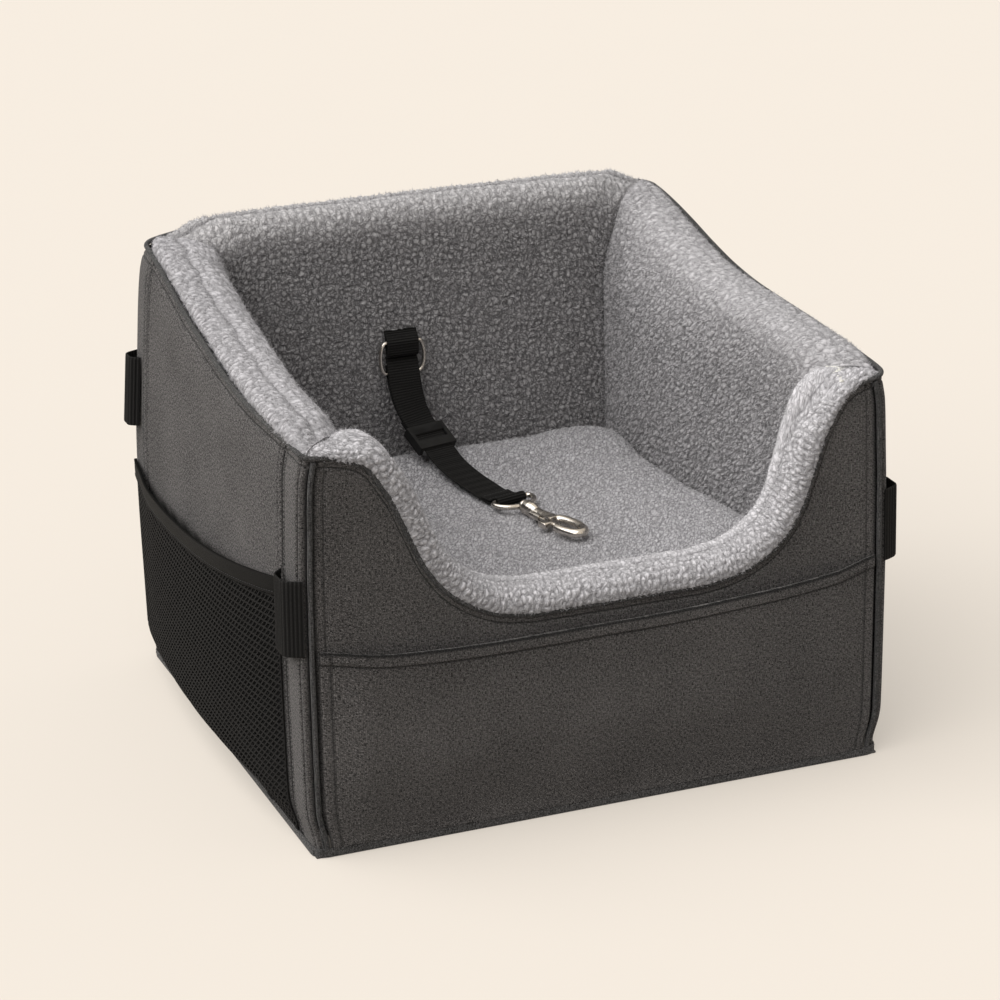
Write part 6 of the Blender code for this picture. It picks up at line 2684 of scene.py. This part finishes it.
@dataclass
class Snap:
    """The swivel bolt snap: eye, hook, thumb bolt and the spring behind it."""

    form: TetherShape = field(default_factory=TetherShape)
    eye_depth: float = 0.0165
    eye_shoulder: float = 0.0040
    eye_bow: float = 0.0036
    boss_radius: float = 0.0046
    boss_length: float = 0.0032
    post_radius: float = 0.0020
    head_radius: float = 0.0032
    head_length: float = 0.0022
    gap: float = 0.0003
    barrel_radius: float = 0.0057
    barrel_length: float = 0.0105
    barrel_wall: float = 0.0018
    neck_length: float = 0.0245
    neck_width: float = 0.0090
    neck_flare: float = 0.0140
    neck_thickness: float = 0.0064
    hook_length: float = 0.0400
    hook_width: float = 0.0222
    hook_wire: float = 0.0036
    bolt_offset: float = 0.0060
    bolt_radius: float = 0.0015
    housing_radius: float = 0.0026
    housing_length: float = 0.0235
    bolt_travel: float = 0.0070
    bolt_mouth: float = 0.0100
    bolt_rear: float = 0.0095
    tab_length: float = 0.0085
    tab_width: float = 0.0048
    tab_reach: float = 0.0066
    voxel: float = 0.00028

    def __post_init__(self) -> None:
        """Works out the places along the hook's axis, from the eye's bar."""
        form = self.form
        self.turn = np.array([form.heading, form.sideways, UP])
        self.boss_front = self.eye_depth + self.boss_length
        self.barrel_rear = self.boss_front + self.gap
        self.cavity_rear = self.barrel_rear + self.barrel_wall
        self.head_rear = self.cavity_rear + self.gap
        self.head_front = self.head_rear + self.head_length
        self.neck_front = self.barrel_length + self.neck_length
        self.wire_half = self.hook_length / 2 - self.hook_wire
        self.oval_centre = self.neck_front - self.hook_wire / 2 + self.wire_half
        self.housing_front = self.neck_front + self.hook_wire / 2
        self.mouth_front = self.housing_front + self.bolt_mouth
        self.housing_rear = self.housing_front - self.housing_length
        self.tab_rear = self.housing_front - self.tab_length / 2 + self.gap
        self.bore_rear = self.housing_rear + self.barrel_wall

    def settle(self, item: Obj, start: float = 0.0) -> None:
        """Moves a piece from the snap's own axes to its place."""
        points = (read_points(item.data) + ACROSS * start) @ self.turn
        write_points(item.data, points + self.form.eye_bar)

    def lathe(self, name: str, profile: Sequence[tuple[float, float]], sides: int) -> Obj:
        """Turns a profile round the X axis.

        Args:
            name: the piece's name.
            profile: distances along X and radii.
            sides: steps round.

        Returns:
            The piece, closed at its ends.
        """
        line = np.array([(x, 0.0, 0.0) for x, _ in profile])
        outline = np.array([round_outline(radius, sides) for _, radius in profile])
        return swept(name, line, BACK, UP, outline)

    def shift(self, item: Obj) -> None:
        """Moves a piece from the hook's axis to the bolt's."""
        write_points(item.data, read_points(item.data) - BACK * self.bolt_offset)

    def eye(self) -> Obj:
        """The wire eye with its boss and headed post.

        Returns:
            The piece.
        """
        half = self.form.bar_half
        points = [(0.0, -half / 2), (0.0, -half)]
        for turn in np.linspace(0, 1, 9)[1:]:
            angle = math.pi / 2 * turn
            points.append((self.eye_shoulder - self.eye_shoulder * math.cos(angle),
                           -half - self.eye_bow * math.sin(angle)))
        for step in range(1, 40):
            angle = math.pi * (step / 40 - 0.5)
            points.append((self.eye_shoulder + (self.eye_depth - self.eye_shoulder) * math.cos(angle),
                           (half + self.eye_bow) * math.sin(angle)))
        points += [(x, -y) for x, y in points[9::-1]]
        points.append(points[0])
        line = np.array([(x, y, 0.0) for x, y in points])
        side, up = frames_along(line, UP, closed=True)
        item = swept("snap_eye", line, side, up, round_outline(self.form.eye_wire, 20))
        post = self.lathe("post", (
            (self.eye_depth - 0.0014, self.boss_radius * 0.45),
            (self.eye_depth - 0.0008, self.boss_radius * 0.8),
            (self.eye_depth, self.boss_radius * 0.97), (self.eye_depth + 0.0006, self.boss_radius),
            (self.boss_front - 0.0006, self.boss_radius), (self.boss_front, self.boss_radius - 0.0005),
            (self.boss_front, self.post_radius), (self.head_rear, self.post_radius),
            (self.head_rear, self.head_radius), (self.head_front, self.head_radius)), 32)
        cut(item, post, "UNION")
        self.settle(item)
        item.data.set_sharp_from_angle(angle=math.radians(40))
        return fit(item, NICKEL, Body.EYE, "swivel_eye")

    def hook(self) -> Obj:
        """The hook: barrel, neck, open oval and the bolt's housing, cast in one.

        Returns:
            The piece.
        """
        cavity_front = self.head_front + self.gap - self.barrel_rear
        length = self.barrel_length
        neck = []
        for share, width in ((-0.1, 1.04), (0.0, 1.0), (0.12, 0.92),
                             (0.3, 0.86), (0.5, 0.92), (0.62, 1.06)):
            neck.append((length + self.neck_length * share, self.neck_width * width))
        for share, width in ((0.7, 0.78), (0.8, 0.92), (0.9, 1.02), (1.0, 0.9)):
            neck.append((length + self.neck_length * share, self.neck_flare * width))
        line = np.array([(x, 0.0, 0.0) for x, _ in neck])
        outline = np.array([round_outline(width / 2, 24, self.neck_thickness / width)
                            for _, width in neck])
        item = swept("snap_hook", line, BACK, UP, outline)
        chamfer = self.barrel_wall / 3
        barrel = self.lathe("barrel", (
            (0.0, self.barrel_radius - chamfer), (chamfer, self.barrel_radius),
            (length * 0.5, self.barrel_radius), (length * 0.75, self.barrel_radius * 0.93),
            (length, self.barrel_radius * 0.78), (length * 1.3, self.neck_thickness * 0.5)), 40)
        collar = self.lathe("collar", (
            (length + self.neck_length * 0.58, 0.0028), (length + self.neck_length * 0.62, 0.0032),
            (length + self.neck_length * 0.68, 0.0032), (length + self.neck_length * 0.72, 0.0028)), 32)
        half_width = self.hook_width / 2 - self.hook_wire
        last = -math.acos((self.mouth_front - self.oval_centre) / self.wire_half)
        angle = np.linspace(math.pi * 0.94, last, 90)
        across = np.copysign(np.abs(np.sin(angle)) ** 0.8, np.sin(angle))
        oval_line = joined(self.oval_centre + self.wire_half * np.cos(angle),
                           half_width * across, 0 * angle)
        side, up = frames_along(oval_line, UP)
        oval = swept("oval", oval_line, side, up, round_outline(self.hook_wire, 20, 0.9))
        housing = self.lathe("housing", (
            (self.housing_rear, self.housing_radius * 0.7),
            (self.housing_rear + chamfer, self.housing_radius),
            (self.housing_front, self.housing_radius)), 24)
        self.shift(housing)
        for other in (barrel, collar, oval, housing):
            cut(item, other, "UNION")
        modify(item, "REMESH", mode="VOXEL", voxel_size=self.voxel)
        modify(item, "SMOOTH", factor=0.5, iterations=4)
        apply_modifiers(item)
        hollow = self.lathe("hollow", (
            (-0.001, self.post_radius + self.gap), (self.barrel_wall, self.post_radius + self.gap),
            (self.barrel_wall, self.head_radius + self.gap),
            (cavity_front, self.head_radius + self.gap)), 24)
        bore = self.lathe("bore", ((self.bore_rear, self.bolt_radius + self.gap),
                                   (self.housing_front + 0.002, self.bolt_radius + self.gap)), 20)
        self.shift(bore)
        slot_half = self.tab_width / 2 + self.gap
        slot_rear = self.tab_rear - self.bolt_travel - self.gap
        slot = block("slot", (slot_rear, -self.bolt_offset - self.housing_radius - 0.002, -slot_half),
                     (self.housing_front + 0.002, -self.bolt_offset, slot_half))
        for other in (hollow, bore, slot):
            cut(item, other)
        self.settle(item, self.barrel_rear)
        item.data.shade_smooth()
        item.data.set_sharp_from_angle(angle=math.radians(45))
        return fit(item, NICKEL, Body.HOOK, "hook_body")

    def bolt(self) -> Obj:
        """The thumb bolt with its tab.

        Returns:
            The piece.
        """
        front = self.mouth_front - self.gap
        tip = self.bolt_radius / 3
        item = self.lathe("snap_bolt", (
            (self.tab_rear - self.bolt_rear, self.bolt_radius), (front - tip, self.bolt_radius),
            (front - tip * 0.3, self.bolt_radius - tip * 0.3), (front, self.bolt_radius - tip)), 24)
        neck_end = -self.bolt_radius - self.tab_reach
        tab = block("tab", (self.tab_rear, neck_end, -self.tab_width / 2),
                    (self.tab_rear + self.tab_length, -self.bolt_radius / 2, self.tab_width / 2))
        round_edges(tab, 0.0011, 4)
        cut(item, tab, "UNION")
        self.shift(item)
        self.settle(item, self.barrel_rear)
        item.data.shade_smooth()
        item.data.set_sharp_from_angle(angle=math.radians(40))
        return fit(item, NICKEL, Body.BOLT, "thumb_bolt")

    def build(self) -> None:
        """Makes the snap. The spring keeps its CAD node, which the joint deforms."""
        self.eye()
        self.hook()
        self.bolt()


# ---------------------------------------------------------------- studio


@dataclass(frozen=True)
class Studio:
    """Floor, world, lamp and camera of the picture."""

    cream: Triple = (0.888, 0.812, 0.708)
    open_floor: Triple = (0.905, 0.832, 0.738)
    floor: Triple = (0.76, 0.69, 0.61)
    floor_bounce: float = 0.28
    floor_glow: float = 0.45
    ambient: Triple = (0.44, 0.435, 0.43)
    key_strength: float = 3.3
    key_direction: Triple = (-0.7, -0.09, 0.9)
    key_angle: float = math.radians(80)
    lens: float = 115.77
    eye: Triple = (-0.80156, -2.02988, 0.97833)
    yaw: float = math.radians(21.55)
    pitch: float = math.radians(20.57)
    roll: float = math.radians(-0.81)

    def camera(self) -> None:
        """Sets the camera at the photograph's view."""
        data = bpy.data.cameras.new("photo_camera")
        data.lens = self.lens
        data.sensor_width = 36.0
        data.clip_end = 100.0
        item = link_object("photo_camera", data)
        turn = Matrix.Rotation(-self.yaw, 4, "Z") @ Matrix.Rotation(math.pi / 2 - self.pitch, 4, "X")
        item.matrix_world = Matrix.Translation(self.eye) @ turn @ Matrix.Rotation(self.roll, 4, "Z")
        bpy.context.scene.camera = item

    def shown(self, tree: Tree) -> Socket:
        """Whether a ray shows the surface: straight, in a reflection or through glass.

        Args:
            tree: the material's nodes.

        Returns:
            The share.
        """
        path = tree.add("LightPath")
        either = tree.math("MAXIMUM", path.outputs["Is Camera Ray"], path.outputs["Is Glossy Ray"])
        return tree.math("MAXIMUM", either, path.outputs["Is Transmission Ray"])

    def light(self) -> None:
        """Adds the soft key lamp and the pale world."""
        data = bpy.data.lights.new("key", "SUN")
        data.energy = self.key_strength
        data.angle = self.key_angle
        item = link_object("key", data)
        item.rotation_euler = Vector(self.key_direction).to_track_quat("Z", "Y").to_euler()
        world = bpy.data.worlds.new("pale_room")
        bpy.context.scene.world = world
        world.use_nodes = True
        tree = Tree(world.node_tree)
        colour = tree.mix(self.shown(tree), self.ambient, self.cream)
        tree.feed(world.node_tree.nodes["Background"], {"Color": colour})

    def ground(self) -> None:
        """Adds the cream floor."""
        shape = bmesh.new()
        bmesh.ops.create_circle(shape, cap_ends=True, segments=96, radius=9.0)
        item = link_shape("studio_floor", shape)
        material = bpy.data.materials.new("cream_floor")
        material.use_nodes = True
        tree = Tree(material.node_tree)
        floor = np.array(self.floor)
        grain = tree.noise(tree.add("TexCoord").outputs["Object"], 6.0, 3.0)
        pale = tree.mix(tree.span(grain, 0.3, 0.7), floor * 0.995, floor)
        lit = tree.mix(self.floor_glow, pale, BLACK)
        shown = self.shown(tree)
        tree.feed(material.node_tree.nodes["Principled BSDF"], {
            "Base Color": tree.mix(shown, floor * self.floor_bounce, lit),
            "Emission Color": tree.mix(shown, BLACK, np.array(self.open_floor) * self.floor_glow),
            "Emission Strength": 1.0, "Roughness": 0.9, "Specular IOR Level": 0.0})
        item.data.materials.append(material)

    def build(self) -> None:
        """Sets the whole studio."""
        self.camera()
        self.light()
        self.ground()
        bpy.context.scene.view_settings.view_transform = "Standard"


def dress_cad_nodes(frame: dict[str, Any]) -> None:
    """Gives the CAD nodes that stay, most of them hidden in the walls, their finishes.

    Args:
        frame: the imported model.
    """
    finishes = {"base_board": BOARD, "riser_foam": OPEN_FOAM, "bolt_spring": SPRING_STEEL}
    for side in Side:
        finishes[side.value + "_stiffener"] = BOARD
        finishes[side.value + "_foam"] = OPEN_FOAM
    for name, finish in finishes.items():
        node = frame["nodes"][name]
        node.data.materials.clear()
        node.data.materials.append(finish.material())
        log.info("%s keeps its CAD shape", name)


def main() -> None:
    """Builds the dressed model in order and reports each piece."""
    logging.basicConfig(level=logging.INFO, format="%(name)s: %(message)s")
    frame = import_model()
    Studio().build()
    dress_cad_nodes(frame)
    stitching = Stitching()
    Shell().build(stitching)
    PatchPocket().build(stitching)
    for side in (Side.LEFT, Side.RIGHT):
        NetPocket(side).build(stitching)
    BeltLoops().build(stitching)
    stitching.finish("seam_stitches", SEAM_THREAD, Body.TUB)
    finishes = {Side.FRONT: FRONT_FLEECE, Side.REAR: REAR_FLEECE, Side.LEFT: LEFT_FLEECE,
                Side.RIGHT: RIGHT_FLEECE}
    for side, finish in finishes.items():
        Lining(side, finish).build()
    Cushion().build()
    Tether().build()
    Snap().build()


if __name__ == "__main__":
    main()
